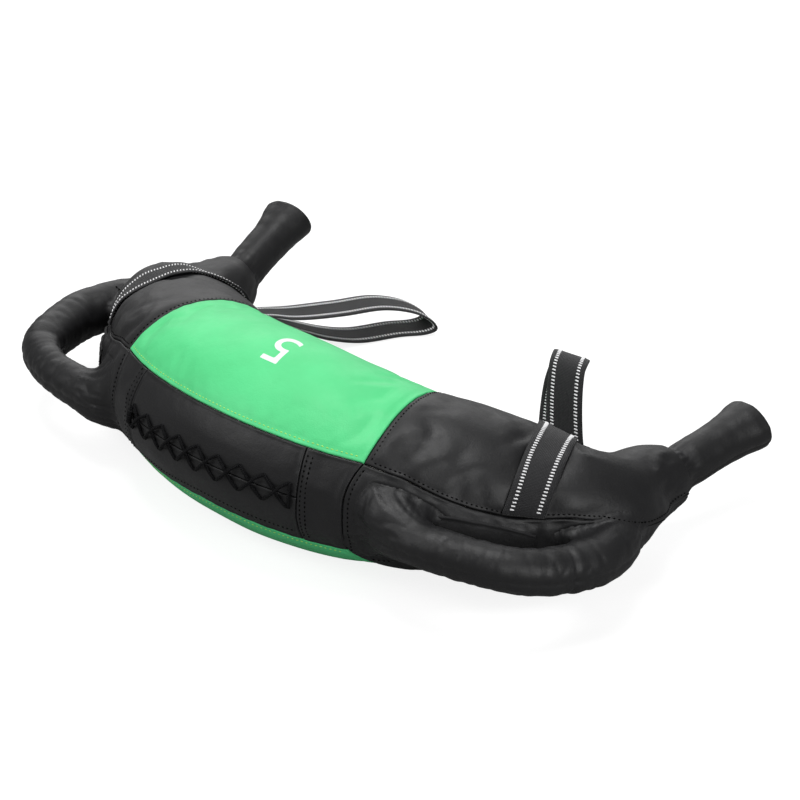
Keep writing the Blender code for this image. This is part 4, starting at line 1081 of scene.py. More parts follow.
class Panel:
    """One sewn panel: its grid of places, its settled shape and its relief."""

    def __init__(self, name, s_edges, t_edges, surface, slot, calm=1.0, step=PANEL_STEP, growth=0.011):
        self.name = name
        self.s_edges, self.t_edges = s_edges, t_edges
        self.calm = calm
        middle_t = float(t_edges[0](0.0) + t_edges[1](0.0)) / 2
        middle_s = float(s_edges[0](middle_t) + s_edges[1](middle_t)) / 2
        turn = float(t_edges[1](middle_s) - t_edges[0](middle_s))
        length = float(s_edges[1](middle_t) - s_edges[0](middle_t))
        height = turn * float(section(np.array(middle_s))[4]) * 1.05
        self.u, self.v = spaced(length, step), spaced(height, step)
        self.s, self.t = self.places(self.u, self.v)
        self.plain = cover_point(self.s, self.t)
        self.to_edge = self.edge_distance(self.plain)
        base = self.plain + self.settled(length, height, growth)
        normal = grid_normals(base)
        lift = self.lift(base) + shoulder(self.s, self.t) * ease(self.to_edge / SHOULDER_EDGE_REACH)
        self.rise = ((base - self.plain) * normal).sum(-1) + lift
        lift = self.join_handle(self.plain, lift)
        outer = base + normal * lift[..., None]
        outer[..., 2] = np.maximum(outer[..., 2], FLOOR_CLEARANCE)
        inner = base + normal * (np.minimum(lift, 0) - SKIN * SKIN_DRAWN_SHARE)[..., None]
        inner[..., 2] = np.maximum(inner[..., 2], INNER_FLOOR_CLEARANCE)
        self.obj = sheet_mesh(name + "_skin", outer, inner, surface)
        dress(self.obj)
        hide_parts(name)

    def places(self, u, v):
        gap = SEAM_VISIBLE_GAP / 2
        u, v = u[:, None], v[None, :]
        s = np.zeros((len(u), v.shape[1])) + self.s_edges[0](self.t_edges[0](0.0))
        for _ in range(12):
            gap_angle = gap / section(s)[4]
            low, high = self.t_edges[0](s) + gap_angle, self.t_edges[1](s) - gap_angle
            t = low + v * (high - low)
            first, last = self.s_edges[0](t) + gap, self.s_edges[1](t) - gap
            s = first + u * (last - first)
        return s, t

    def edge_distance(self, base):
        """Distance of each point from the panel's nearest edge, along the cover."""
        along = np.linalg.norm(np.diff(base, axis=0), axis=-1)
        along = np.concatenate([np.zeros((1, base.shape[1])), np.cumsum(along, axis=0)])
        around = np.linalg.norm(np.diff(base, axis=1), axis=-1)
        around = np.concatenate([np.zeros((base.shape[0], 1)), np.cumsum(around, axis=1)], axis=1)
        apart = [along, along[-1:] - along, around, around[:, -1:] - around]
        if self.s_edges[0](0.0) <= -HALF_LENGTH + 0.001:
            apart[0] = apart[0] + 1
        if self.s_edges[1](0.0) >= HALF_LENGTH - 0.001:
            apart[1] = apart[1] + 1
        return np.minimum.reduce(apart)

    def settled(self, length, height, growth):
        """How far the panel moves when its cloth settles, with its seams held."""
        if growth <= 0:
            return 0.0
        columns = max(6, round(length / SETTLE_STEP))
        rows = max(6, round(height / SETTLE_STEP))
        u, v = np.linspace(0, 1, columns + 1), np.linspace(0, 1, rows + 1)
        points = cover_point(*self.places(u, v))
        held = np.zeros(points.shape[:2], bool)
        held[[0, -1]] = True
        held[:, [0, -1]] = True
        faces = grid_faces(columns + 1, rows + 1)
        flat = points.reshape(-1, 3)
        moved = settle(flat, faces, held.ravel(), growth, CLOTH_PRESSURE, CLOTH_REACH)
        return resample(moved.reshape(points.shape) - points, self.u, self.v)

    def lift(self, base):
        apart = self.to_edge
        lift = PANEL_CROWN * self.calm * (1 - np.exp(-apart / CROWN_REACH))
        lift += cover_relief(base, self.s, self.t, self.calm) * (1 - np.exp(-apart / RELIEF_EDGE_REACH))
        pucker = EDGE_PUCKER * lumps(base, PUCKER_SIZE, 6) * np.exp(-apart / PUCKER_REACH)
        roll = np.clip(1 - apart / EDGE_ROLL, 0, 1)
        drop = EDGE_ROLL * (1 - np.sqrt(np.clip(1 - roll**2, 0, 1)))
        strap = near_strap(self.s, self.t)
        lift = lift * (1 - 0.6 * strap) - STRAP_PRESS_DEPTH * strap
        groove = bell(apart - STITCH_GROOVE_PLACE, STITCH_GROOVE_WIDTH)
        raised = bell(apart - STITCH_GROOVE_PLACE / 2, STITCH_GROOVE_WIDTH)
        return lift + pucker - drop + STITCH_GROOVE_DEPTH * (0.5 * raised - groove)

    def join_handle(self, plain, lift):
        """Dive under the joined skin of a side handle."""
        side = "left" if self.s.mean() < 0 else "right"
        if not self.name.startswith(JOINED_PANELS):
            return lift
        ring, distance, angle = HANDLES[side].near(plain)
        if distance.min() > JOIN_FIELD_REACH:
            return lift
        reach = HANDLES[side].blend_reach(ring, angle, self.s, self.t)
        folded = HANDLES[side].relief(ring, angle)
        bulge = shoulder(self.s, self.t)
        joined = lift + joined_rise(self.rise - bulge, folded, distance) - self.rise + bulge
        return joined - JOIN_DIVE * ease((reach - distance) / JOIN_DIVE_REACH)


def joined_rise(rise, folded, distance):
    """Height of the skin over its plain surface between a panel and a tube."""
    shared = ease(1 - distance / JOIN_FADE)
    return rise * (1 - 0.85 * shared) + folded * shared


def make_panels():
    across = (lambda t: -green_top_edge(t), green_top_edge)
    panels = {}

    def add(name, s_edges, t_edges, surface, slot, **more):
        panels[name] = Panel(name, s_edges, t_edges, surface, slot, **more)

    green = (GREEN, "green_cover")
    black = (BLACK, "black_cover")
    add("top_centre_panel", across, (top_seam, back_seam), *green, calm=0.55, growth=0.006)
    below = (lambda t: -green_low_edge(t), green_low_edge)
    add("bottom_centre_panel", below, (back_seam_below, low_seam), *green, calm=0.4, growth=0.004)
    laced = (constant(-LACED_HALF_LENGTH), constant(LACED_HALF_LENGTH))
    fine = {"step": LACED_PANEL_STEP, "growth": 0.0, "calm": 0.6}
    add("lacing_panel_upper", laced, (slit, top_seam), *black, **fine)
    add("lacing_panel_lower", laced, (low_seam, slit), *black, **fine)
    for name, side in SIDES.items():
        end = constant(HALF_LENGTH)
        front = mirrored((constant(LACED_HALF_LENGTH), front_panel_edge), side)
        add("front_panel_" + name, front, (low_seam, top_seam), *black, calm=0.7)
        outer = mirrored((front_panel_edge, end), side)
        add("side_panel_" + name, outer, (low_seam, top_seam), *black, step=SIDE_PANEL_STEP)
        top = mirrored((green_top_edge, end), side)
        add("end_top_panel_" + name, top, (top_seam, back_seam), *black, growth=0.014)
        low = mirrored((green_low_edge, end), side)
        add("end_bottom_panel_" + name, low, (back_seam_below, low_seam), *black, calm=0.7)
    return panels


# Side handles


CORNERS = [(i, j, k) for i in (0, 1) for j in (0, 1) for k in (0, 1)]


def at_corner(values, corner):
    return values[tuple(slice(c, n - 1 + c) for c, n in zip(corner, values.shape))]


def level_net(values, low, cell):
    """Points and four-sided faces of the surface where values on a grid change sign."""
    inside = values < 0
    count = sum(at_corner(inside, corner).astype(int) for corner in CORNERS)
    mixed = (count > 0) & (count < 8)
    total, cuts = np.zeros(mixed.shape + (3,)), np.zeros(mixed.shape)
    for corner in CORNERS:
        for axis in (k for k in range(3) if not corner[k]):
            other = tuple(1 if k == axis else corner[k] for k in range(3))
            first, second = at_corner(values, corner), at_corner(values, other)
            cut = (first < 0) != (second < 0)
            place = np.broadcast_to(np.array(corner, float), total.shape).copy()
            place[..., axis] = np.where(cut, first / np.where(cut, first - second, 1), 0)
            total += place * cut[..., None]
            cuts += cut
    number = np.full(mixed.shape, -1)
    number[mixed] = np.arange(mixed.sum())
    points = (np.argwhere(mixed) + total[mixed] / cuts[mixed][:, None]) * cell + low
    faces = []
    for axis in range(3):
        one, two = (k for k in range(3) if k != axis)
        start = np.take(inside, range(values.shape[axis] - 1), axis)
        end = np.take(inside, range(1, values.shape[axis]), axis)
        change = np.argwhere(start != end)
        sizes = np.array(values.shape) - 1
        keep = (change[:, one] > 0) & (change[:, two] > 0)
        keep &= (change[:, one] < sizes[one]) & (change[:, two] < sizes[two])
        change = change[keep]
        left, down = np.eye(3, dtype=int)[one], np.eye(3, dtype=int)[two]
        ring = (change, change - left, change - left - down, change - down)
        quads = np.stack([number[tuple(cells.T)] for cells in ring], 1)
        from_inside = start[tuple(change.T)]
        flip = from_inside if axis == 1 else ~from_inside
        quads[flip] = quads[flip][:, ::-1]
        faces.append(quads)
    return points, np.vstack(faces)


def kept_faces(points, faces, keep, *more):
    """Only the faces whose corners are all kept, and the points that they use."""
    faces = faces[keep[faces].all(1)]
    used = np.unique(faces)
    number = np.zeros(len(points), int)
    number[used] = np.arange(len(used))
    return (points[used], number[faces], *(values[used] for values in more))


def split(points, faces):
    """Each face divided in four."""
    ends = np.sort(np.stack([faces, np.roll(faces, -1, axis=1)], -1), -1)
    pairs, where = np.unique(ends.reshape(-1, 2), axis=0, return_inverse=True)
    where = where.reshape(-1, 4) + len(points)
    middle = len(points) + len(pairs) + np.arange(len(faces))
    points = np.vstack([points, points[pairs].mean(1), points[faces].mean(1)])
    parts = [np.stack([faces[:, k], where[:, k], middle, where[:, k - 1]], 1) for k in range(4)]
    return points, np.vstack(parts)


def averaged(values, faces, times):
    """Values of points smoothed over their neighbours."""
    ends = np.stack([faces, np.roll(faces, -1, axis=1)], -1).reshape(-1, 2)
    ends = np.vstack([ends, ends[:, ::-1]])
    count = np.bincount(ends[:, 0], minlength=len(values))
    for _ in range(times):
        columns = values.reshape(len(values), -1).T
        total = [np.bincount(ends[:, 0], column[ends[:, 1]], len(values)) for column in columns]
        mean = np.array(total).T / np.maximum(count, 1)[:, None]
        values = ((columns.T + mean) / 2).reshape(values.shape)
    return values


def joined_field(name, points):
    ring, tube, angle = HANDLES[name].near(points)
    cover, s, t = cover_place(points)
    return joined_distance(name, points, cover, tube, HANDLES[name].blend_reach(ring, angle, s, t))


def field_slope(name, points, field):
    steps = np.eye(3) * SLOPE_STEP
    return np.stack([(joined_field(name, points + step) - field) / SLOPE_STEP for step in steps], -1)


def drawn_in(name, points):
    """Points moved onto the joined surface, and its outward directions there."""
    for _ in range(2):
        field = joined_field(name, points)
        slope = field_slope(name, points, field)
        steep = np.maximum((slope**2).sum(-1), 0.2)
        points = points - slope * (field / steep)[:, None]
    return points, unit(slope)


def thick_mesh(name, outer, inner, faces, surface):
    """Closed piece between two skins with the same faces."""
    count = len(outer)
    ends = np.stack([faces, np.roll(faces, -1, axis=1)], -1).reshape(-1, 2)
    known = set(map(tuple, ends))
    rim = [(b, a, a + count, b + count) for a, b in ends if (b, a) not in known]
    faces = [*faces, *(faces[:, ::-1] + count), *rim]
    return mesh_object(name, np.vstack([outer, inner]), faces, surface)


def panel_rises(panels, name, points):
    """Height of the nearest panel's skin over the plain cover."""
    near = [panels[part + name] for part in JOINED_PANELS]
    places = np.vstack([panel.plain.reshape(-1, 3) for panel in near])
    rises = np.concatenate([(panel.rise - shoulder(panel.s, panel.t)).ravel() for panel in near])
    tree = KDTree(len(places))
    for number, place in enumerate(places):
        tree.insert(place, number)
    tree.balance()
    return rises[[tree.find(point)[1] for point in points]]


def crumpled(points, crumples):
    return sum(high * lumps(points, size, seed, (1, 1, long)) for size, high, seed, long in crumples)


def make_handle(name, side, panels):
    """The stuffed tube with its roots rounded into the cover, and the lining of its slot."""
    handle = HANDLES[name]
    low = handle.line.min(0) - JOIN_FIELD_REACH
    high = handle.line.max(0) + JOIN_FIELD_REACH
    counts = np.ceil((high - low) / JOIN_CELL).astype(int) + 1
    grid = low + np.stack(np.meshgrid(*map(np.arange, counts), indexing="ij"), -1) * JOIN_CELL
    rough = np.linalg.norm(grid[..., None, :] - handle.line[::8], axis=-1).min(-1)
    near = rough < JOIN_FIELD_REACH + HANDLE_RADIUS
    values = np.full(grid.shape[:3], 1.0)
    values[near] = joined_field(name, grid[near])
    points, faces = level_net(values, low, JOIN_CELL)
    ring, tube, angle = handle.near(points)
    keep = tube < handle.blend_reach(ring, angle, *cover_place(points)[1:]) + JOIN_OVERLAP
    points, faces = kept_faces(points, faces, keep)
    for _ in range(2):
        points = averaged(points, faces, 2)
        points, outward = drawn_in(name, points)
    points, faces = split(points, faces)
    points = averaged(points, faces, 1)
    points, outward = drawn_in(name, points)
    outward = unit(averaged(outward, faces, 2))
    ring, tube, angle = handle.near(points)
    cover, s, t = cover_place(points)
    reach = handle.blend_reach(ring, angle, s, t)
    rise = joined_rise(panel_rises(panels, name, points), handle.relief(ring, angle), tube)
    rise = averaged(rise, faces, 2)
    within = smooth_least(cover, tube, reach)
    rise = rise * ease(1 + within / SINK_REACH)
    sunk = rise - JOIN_EDGE_DIVE * ease((tube - reach) / JOIN_EDGE_FADE)
    outer = points + outward * sunk[:, None]
    outer[:, 2] = np.maximum(outer[:, 2], FLOOR_CLEARANCE)
    obj = thick_mesh("side_handle_skin_" + name, outer, outer - outward * HANDLE_SKIN, faces, BLACK)
    dress(obj)
    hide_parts("side_handle_cover_" + name)
    lined = within < -LINING_RIM
    points, faces, outward, within, sunk = kept_faces(points, faces, lined, outward, within, sunk)
    hem = LINING_HEM * bell(within + LINING_RIM + LINING_HEM_WIDTH, LINING_HEM_WIDTH)
    outer = points + outward * (LINING_LIFT + sunk + crumpled(points, LINING_CRUMPLES) + hem)[:, None]
    lining = thick_mesh("slot_lining_" + name, outer, outer - outward * LINING_THICKNESS, faces, LINING)
    flap = slot_flap(name, side, panels)
    for piece in (lining, flap):
        dress(piece)
        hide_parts("slot_gusset_" + name)
    above = np.flatnonzero(handle.line[:, 2] > handle.radius * CORE_SHARE + CORE_FLOOR_CLEARANCE)[2:-2:3]
    radius = handle.radius[above] * CORE_SHARE
    core = tube_mesh("grip_fibre_" + name, handle.line[above], radius, 20, FIBRE)
    dress(core)
    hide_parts("side_handle_core_" + name)
    return obj


def slot_flap(name, side, panels):
    """The lining where it is sewn to the bag above the slot, edged by a hem."""
    first, last = SLOT_OPEN_SHARES[name]
    along = np.linspace(-1, 1, 70)[:, None]
    s = side * HALF_LENGTH * ((first + last) / 2 + (last - first) / 2 * along)
    rim = top_seam(s) - FLAP_ANGLE - FLAP_END_ANGLE * along**2
    t = FLAP_LOW_ANGLE + (rim - FLAP_LOW_ANGLE) * np.linspace(0, 1, 40)[None, :] ** 0.8
    s = np.broadcast_to(s, t.shape)
    base, normal = cover_point(s, t), cover_normal(s, t)
    rise = panel_rises(panels, name, base.reshape(-1, 3)).reshape(t.shape) + shoulder(s, t)
    for _ in range(4):
        rise[1:-1, 1:-1] = (rise[:-2, 1:-1] + rise[2:, 1:-1] + rise[1:-1, :-2] + rise[1:-1, 2:]) / 4
    span = np.clip((rim - t) * HALF_HEIGHT, 0, 1)
    hem = sum(high * bell(span - place, width) for high, place, width in (FLAP_HEM, FLAP_HEM_GROOVE))
    crumple = crumpled(base, FLAP_CRUMPLES) * ease(span / FLAP_CRUMPLE_REACH)
    outer = base + normal * (rise + FLAP_LIFT + hem + crumple)[..., None]
    return sheet_mesh("slot_flap_" + name, outer, outer - normal * LINING_THICKNESS, LINING)


# Horns


def horn_frame(name, side):
    middle, *_, half, underside = section(np.array(side * HALF_LENGTH))
    pivot = np.array([middle[0], middle[1], underside + half])
    rise = HORN_RISE_ANGLES[name]
    heading = (side * math.cos(HORN_HEADING_ANGLE), math.sin(HORN_HEADING_ANGLE))
    along = np.array([heading[0] * math.cos(rise), heading[1] * math.cos(rise), math.sin(rise)])
    across = unit(np.cross(along, (0, 0, 1)))
    return pivot, along, across, np.cross(across, along)


# Relief of the horns: length along and how fast it changes round
HORN_PLEATS = (0.05, 3.0)
HORN_RINGS = (0.0065, 0.8)
HORN_LUMPS = (0.024, 1.0)
HORN_ROOT_REACH = 0.016
HORN_TIP_REACH = 0.012
HORN_SEAM_RADIUS = 0.017
HORN_SKIN = 0.0020
HORN_INSIDE = 0.008
BALL_REACH = 0.0105


def horn_shape(distance):
    """Half width and half depth of the horn's section."""
    places = [row[0] * HORN_LENGTH for row in HORN_FLARE_SHARES]
    flare = np.interp(distance, places, [row[1] for row in HORN_FLARE_SHARES])
    wide = HORN_GRIP_RADIUS + (HORN_TIP_HALF_WIDTH - HORN_GRIP_RADIUS) * flare
    deep = HORN_GRIP_RADIUS + (HORN_TIP_HALF_DEPTH - HORN_GRIP_RADIUS) * flare
    ball = np.sqrt(np.maximum(HORN_BALL_RADIUS**2 - distance**2, 0))
    neck = np.where(distance < BALL_REACH, ball, HORN_GRIP_RADIUS)
    swell = np.clip(neck - HORN_GRIP_RADIUS, 0, None)
    return wide + swell, deep + swell


def make_horn(name, side):
    pivot, along, across, up = horn_frame(name, side)
    angles = np.linspace(0, 2 * math.pi, 96, endpoint=False)
    rolled = HORN_LENGTH - HORN_TIP_ROLL * (1 - np.sin(np.linspace(0.1, math.pi / 2, 12)))
    distance = np.concatenate([np.linspace(-HORN_INSIDE, rolled[0] - 0.0008, 56), rolled])
    softened = np.linspace(-0.003, 0.003, 7)
    wide = np.mean([horn_shape(distance + part)[0] for part in softened], axis=0)
    deep = np.mean([horn_shape(distance + part)[1] for part in softened], axis=0)
    angle = np.broadcast_to(angles[None], (len(distance), len(angles)))
    reach = np.broadcast_to(distance[:, None], angle.shape)
    turn = np.stack([np.cos(angle), np.sin(angle)], -1)
    root = bell(np.maximum(reach, 0), HORN_ROOT_REACH)
    tip = bell(HORN_LENGTH - reach, HORN_TIP_REACH)
    seed = 31 + side
    relief = 0.0017 * root * (folds(ring_lumps(reach, turn, *HORN_PLEATS, seed), 4) + 0.3)
    relief += 0.0011 * (root + 0.25) * ring_lumps(reach, turn, *HORN_RINGS, seed + 4)
    soft = 0.0008 * ring_lumps(reach, turn, *HORN_LUMPS, seed + 7)
    relief += soft + 0.0007 * tip * ring_lumps(reach, turn, *HORN_PLEATS, seed + 9)
    edge = np.clip(1 - (HORN_LENGTH - reach) / HORN_TIP_ROLL, 0, 1)
    relief -= HORN_TIP_ROLL * (1 - np.sqrt(np.maximum(1 - edge**2, 0)))
    seam = turned_apart(angle, HORN_SEAM_ANGLES[name]) * HORN_SEAM_RADIUS
    relief -= 0.0012 * bell(seam, 0.0010) + 0.0005 * bell(seam, 0.005)
    centre = pivot + along * distance[:, None]
    spread = np.cos(angle)[..., None] * across, np.sin(angle)[..., None] * up
    outer = centre[:, None] + spread[0] * (wide[:, None] + relief)[..., None]
    outer = outer + spread[1] * (deep[:, None] + relief)[..., None]
    inner = centre[:, None] + spread[0] * (wide[:, None] - HORN_SKIN)[..., None]
    inner = inner + spread[1] * (deep[:, None] - HORN_SKIN)[..., None]
    columns, rows = outer.shape[:2]
    count = columns * rows
    faces = [*grid_faces(columns, rows, 0, True, True), *grid_faces(columns, rows, count, False, True)]
    for j in range(rows):
        k = (j + 1) % rows
        last = (columns - 1) * rows
        faces.append((j, k, k + count, j + count))
        faces.append((last + k, last + j, last + j + count, last + k + count))
    points = np.vstack([outer.reshape(-1, 3), inner.reshape(-1, 3)])
    cover = mesh_object("horn_skin_" + name, points, faces, BLACK)
    dress(cover, "horn_" + name)
    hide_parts("horn_cover_" + name)
    make_horn_cap(name, side, angles)


# Rings of the end disc: share of its radius, and rise over the horn's end
CAP_RINGS = (
    (0.97, -0.0016),
    (1.03, -0.0010),
    (1.03, -0.0002),
    (0.99, 0.0005),
    (0.93, 0.0011),
    (0.84, 0.0017),
    (0.70, 0.0023),
    (0.54, 0.0028),
    (0.36, 0.0031),
    (0.18, 0.0032),
    (0.04, 0.0032),
)


def make_horn_cap(name, side, angles):
    """Slightly domed end disc, rolled into the seam round its rim."""
    pivot, along, across, up = horn_frame(name, side)
    rim = 1 - HORN_TIP_ROLL / HORN_TIP_HALF_WIDTH
    grid = []
    for share, rise in CAP_RINGS:
        share = rim * share
        flat = np.cos(angles)[:, None] * across * HORN_TIP_HALF_WIDTH * share
        flat = flat + np.sin(angles)[:, None] * up * HORN_TIP_HALF_DEPTH * share
        ring = pivot + along * (HORN_LENGTH + rise) + flat
        crumple = 0.0008 * lumps(ring, 0.012, 41 + side) * (1 - share**6)
        grid.append(ring + along * crumple[:, None])
    grid = np.array(grid)
    columns, rows = grid.shape[:2]
    faces = [*grid_faces(columns, rows, 0, True, True)]
    faces.append(tuple(range(rows)))
    faces.append(tuple(range(columns * rows - 1, (columns - 1) * rows - 1, -1)))
    cap = mesh_object("horn_end_" + name, grid.reshape(-1, 3), faces, BLACK)
    dress(cap, "horn_" + name)
    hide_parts("horn_cap_" + name)


# Straps


def strap_edges(side, t):
    middle = strap_middle(t)
    half = STRAP_WIDTH / 2
    for _ in range(8):
        edges = cover_point(np.array([middle - half, middle + half]), t)
        half *= STRAP_WIDTH / np.linalg.norm(edges[1] - edges[0])
    return side * (middle - half), side * (middle + half)


def strap_row(side, t):
    near, far = strap_edges(side, t)
    shares = np.linspace(0, 1, STRAP_COLUMNS + 1)
    on_cover = cover_point(near + (far - near) * shares, t)
    first, last = on_cover[0], on_cover[-1]
    straight = first + (last - first) * shares[:, None]
    outward = unit(np.cross(last - first, (0, 0, -side)))
    finely = cover_point(np.linspace(near, far, 15), t)
    straight += outward * max(0, ((finely - first) @ outward).max())
    hollow = np.clip((abs(t) - STRAP_LIFT_ANGLE) / (math.pi / 2 - STRAP_LIFT_ANGLE / 2), 0, 1)
    return on_cover + (straight - on_cover) * hollow


def loop_hinge(side):
    edges = cover_point(np.array(strap_edges(side, LOOP_ROOT_ANGLE)), LOOP_ROOT_ANGLE)
    along = unit(edges[1] - edges[0]) * side
    outward = np.array([-along[1], along[0], 0])
    return edges.mean(axis=0) + outward * LOOP_STAND, along, outward


def cover_run(side, start, finish, tree):
    """Rows across a strap that lies on the skins, at the middle of its thickness."""
    count = round(abs(finish - start) / STRAP_ROW_ANGLE)
    rows = np.array([strap_row(side, t) for t in np.linspace(start, finish, count + 1)])
    facing = grid_normals(rows) * side
    outward = cover_normal(side * STRAP_PLACE, start + (finish - start) / 2)
    facing *= -1 if facing[count // 2, STRAP_COLUMNS // 2] @ outward < 0 else 1
    rise = np.zeros(rows.shape[:2])
    for i, j in np.ndindex(rise.shape):
        origin = rows[i, j] + facing[i, j] * STRAP_SEARCH
        hit = tree.ray_cast(Vector(origin), Vector(-facing[i, j]), 2 * STRAP_SEARCH)[3]
        rise[i, j] = 0 if hit is None else STRAP_SEARCH - hit
    shares = np.linspace(0, 1, rows.shape[1])
    flat = []
    for row in rise:
        slope, level = np.polyfit(shares, row, 1)
        straight = level + slope * shares
        flat.append(straight + max(0, (row - straight).max()) * 0.8)
    flat = np.array(flat)
    for _ in range(8):
        flat[1:-1] = (flat[:-2] + 2 * flat[1:-1] + flat[2:]) / 4
    shares = np.linspace(0, 1, count + 1)
    from_loop = shares if abs(start) > abs(finish) else 1 - shares
    lifted = flat * ease(from_loop / STRAP_FADE_SHARE)[:, None]
    return rows + facing * (STRAP_GAP / 2 + STRAP_THICKNESS / 2 + lifted)[..., None]


def loop_run(name, side):
    root, hinge, _ = loop_hinge(side)
    path = np.array(LOOP_PATHS[name])
    places = np.linspace(0, len(path) - 1, 10 * (len(path) - 1) + 1)
    line = smooth(path, places)[0] + root
    line[:, 2] = np.maximum(line[:, 2], STRAP_THICKNESS / 2 + FIT_GAP)
    heading = LOOP_WIDTH_HEADINGS[name]
    own = np.array([math.cos(heading), math.sin(heading), 0])
    shares = places / places[-1]
    turned = ease(np.minimum(shares, 1 - shares) / LOOP_TWIST_SHARE)[:, None]
    width = unit(hinge * (1 - turned) + own * turned)
    across = np.linspace(-0.5, 0.5, STRAP_COLUMNS + 1)
    return line[:, None] + width[:, None] * (STRAP_WIDTH * across)[None, :, None]


def even_rows(grid, step):
    """The same strip with its rows an even distance apart along its middle."""
    middle = grid[:, grid.shape[1] // 2]
    apart = np.linalg.norm(np.diff(middle, axis=0), axis=1)
    arc = np.concatenate([[0], np.cumsum(apart)])
    keep = np.concatenate([[True], apart > 1e-5])
    grid, arc = grid[keep], arc[keep]
    wanted = np.linspace(0, arc[-1], round(arc[-1] / step) + 1)
    flat = grid.reshape(len(grid), -1)
    even = np.stack([np.interp(wanted, arc, flat[:, k]) for k in range(flat.shape[1])], -1)
    for _ in range(2):
        even[1:-1] = (even[:-2] + 2 * even[1:-1] + even[2:]) / 4
    return even.reshape(len(wanted), *grid.shape[1:]), wanted


def make_strap(name, side, tree):
    """One webbing: down over the cover, out through its loop and back under the bag."""
    over = cover_run(side, STRAP_START_ANGLE, STRAP_EXIT_ANGLE, tree)
    under = cover_run(side, -STRAP_LOW_EXIT_ANGLE, -STRAP_LOW_START_ANGLE, tree)
    if side < 0:
        over, under = over[:, ::-1], under[:, ::-1]
    grid, arc = even_rows(np.concatenate([over, loop_run(name, side), under]), STRAP_ROW_STEP)
    facing = grid_normals(grid)
    across = np.linspace(-1, 1, grid.shape[1])
    half = STRAP_THICKNESS / 2 * (1 - 0.55 * np.clip((np.abs(across) - 0.93) / 0.07, 0, 1))
    uvs = np.stack(np.meshgrid(arc, across * STRAP_WIDTH / 2, indexing="ij"), -1)
    top = grid + facing * half[None, :, None]
    bottom = grid - facing * half[None, :, None]
    obj = sheet_mesh("webbing_" + name, top, bottom, WEBBING, uvs)
    dashes = make_dashes("webbing_dashes_" + name, grid, facing, arc)
    root, _, outward = loop_hinge(side)
    nodes = [kind + name for kind in ("strap_upper_", "strap_lower_", "strap_loop_")]
    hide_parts(*nodes)
    for piece in (obj, dashes):
        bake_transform(piece)


# Corners of a dash, as shares of its half width and half length
DASH_CORNERS = ((-1, -0.7), (-0.8, -1), (0.8, -1), (1, -0.7), (1, 0.7), (0.8, 1), (-0.8, 1), (-1, 0.7))


def make_dashes(name, grid, facing, arc):
    """Two rows of white bars woven into the webbing, on both of its faces."""
    points, faces = [], []
    layers = ((-0.0002, 1.0), (DASH_HEIGHT * 0.5, 1.0), (DASH_HEIGHT, 0.72))
    columns = grid.shape[1] - 1
    for row in (DASH_INSET_SHARE, 1 - DASH_INSET_SHARE):
        for place in np.arange(0.004, arc[-1] - 0.003, DASH_PITCH):
            at = place / arc[-1] * (len(arc) - 1)
            strip = smooth(grid, np.array([at]))[0][0]
            normal = unit(smooth(facing, np.array([at]))[0][0][columns // 2])
            centre = smooth(strip, np.array([row * columns]))[0][0]
            wide = unit(strip[-1] - strip[0])
            long = unit(np.cross(normal, wide))
            long = unit(long + wide * 0.22)
            for face in (1, -1):
                lift = normal * face * (STRAP_THICKNESS / 2)
                first = len(points)
                for height, shrink in layers:
                    for x, y in DASH_CORNERS:
                        flat = wide * x * DASH_WIDTH / 2 * shrink + long * y * DASH_LENGTH / 2 * shrink
                        points.append(centre + lift + flat + normal * face * height)
                ring = [first + k for k in range(8)]
                for layer in (0, 8):
                    for k in range(8):
                        n = (k + 1) % 8
                        quad = (ring[k] + layer, ring[n] + layer, ring[n] + layer + 8, ring[k] + layer + 8)
                        faces.append(quad if face > 0 else quad[::-1])
                top = tuple(k + 16 for k in ring)
                low = tuple(reversed(ring))
                faces.append(top if face > 0 else top[::-1])
                faces.append(low if face > 0 else low[::-1])
    return mesh_object(name, points, faces, WHITE_THREAD)


# Lacing

LACE_SHIFT = LACE_RADIUS * 0.75
LACE_OVER = -(LACE_RADIUS + FIT_GAP)
LACE_UNDER = SKIN + LACE_CLEARANCE + LACE_RADIUS
LACE_LAYER = 2 * LACE_RADIUS + LACE_CLEARANCE


def lace_hole(upper, outer_first, s):
    edge = 1 if upper else -1
    reach = (LACE_UNDER - LACE_OVER) / 2
    middle = (LACE_UNDER + LACE_OVER) / 2
    base = LACE_UPPER_ANGLE if upper else LACE_LOWER_ANGLE
    turn = edge * reach / HALF_HEIGHT
    points = []
    for angle in (-LACE_TURN_ANGLE, 0, LACE_TURN_ANGLE):
        points.append((s, base + turn * (math.cos(angle) - 1), middle + reach * math.sin(angle)))
    return points if outer_first else points[::-1]


def lace_run(start, finish, height, humps):
    points = []
    for share in LACE_HUMP_RUN_SHARES if humps else LACE_FLAT_RUN_SHARES:
        s = start[0] + (finish[0] - start[0]) * share
        t = start[1] + (finish[1] - start[1]) * share
        centred = 1 - abs(2 * share - 1)
        points.append((s, t, height + humps * min(1, centred * LACE_HUMP_RISE_SHARE)))
    return points


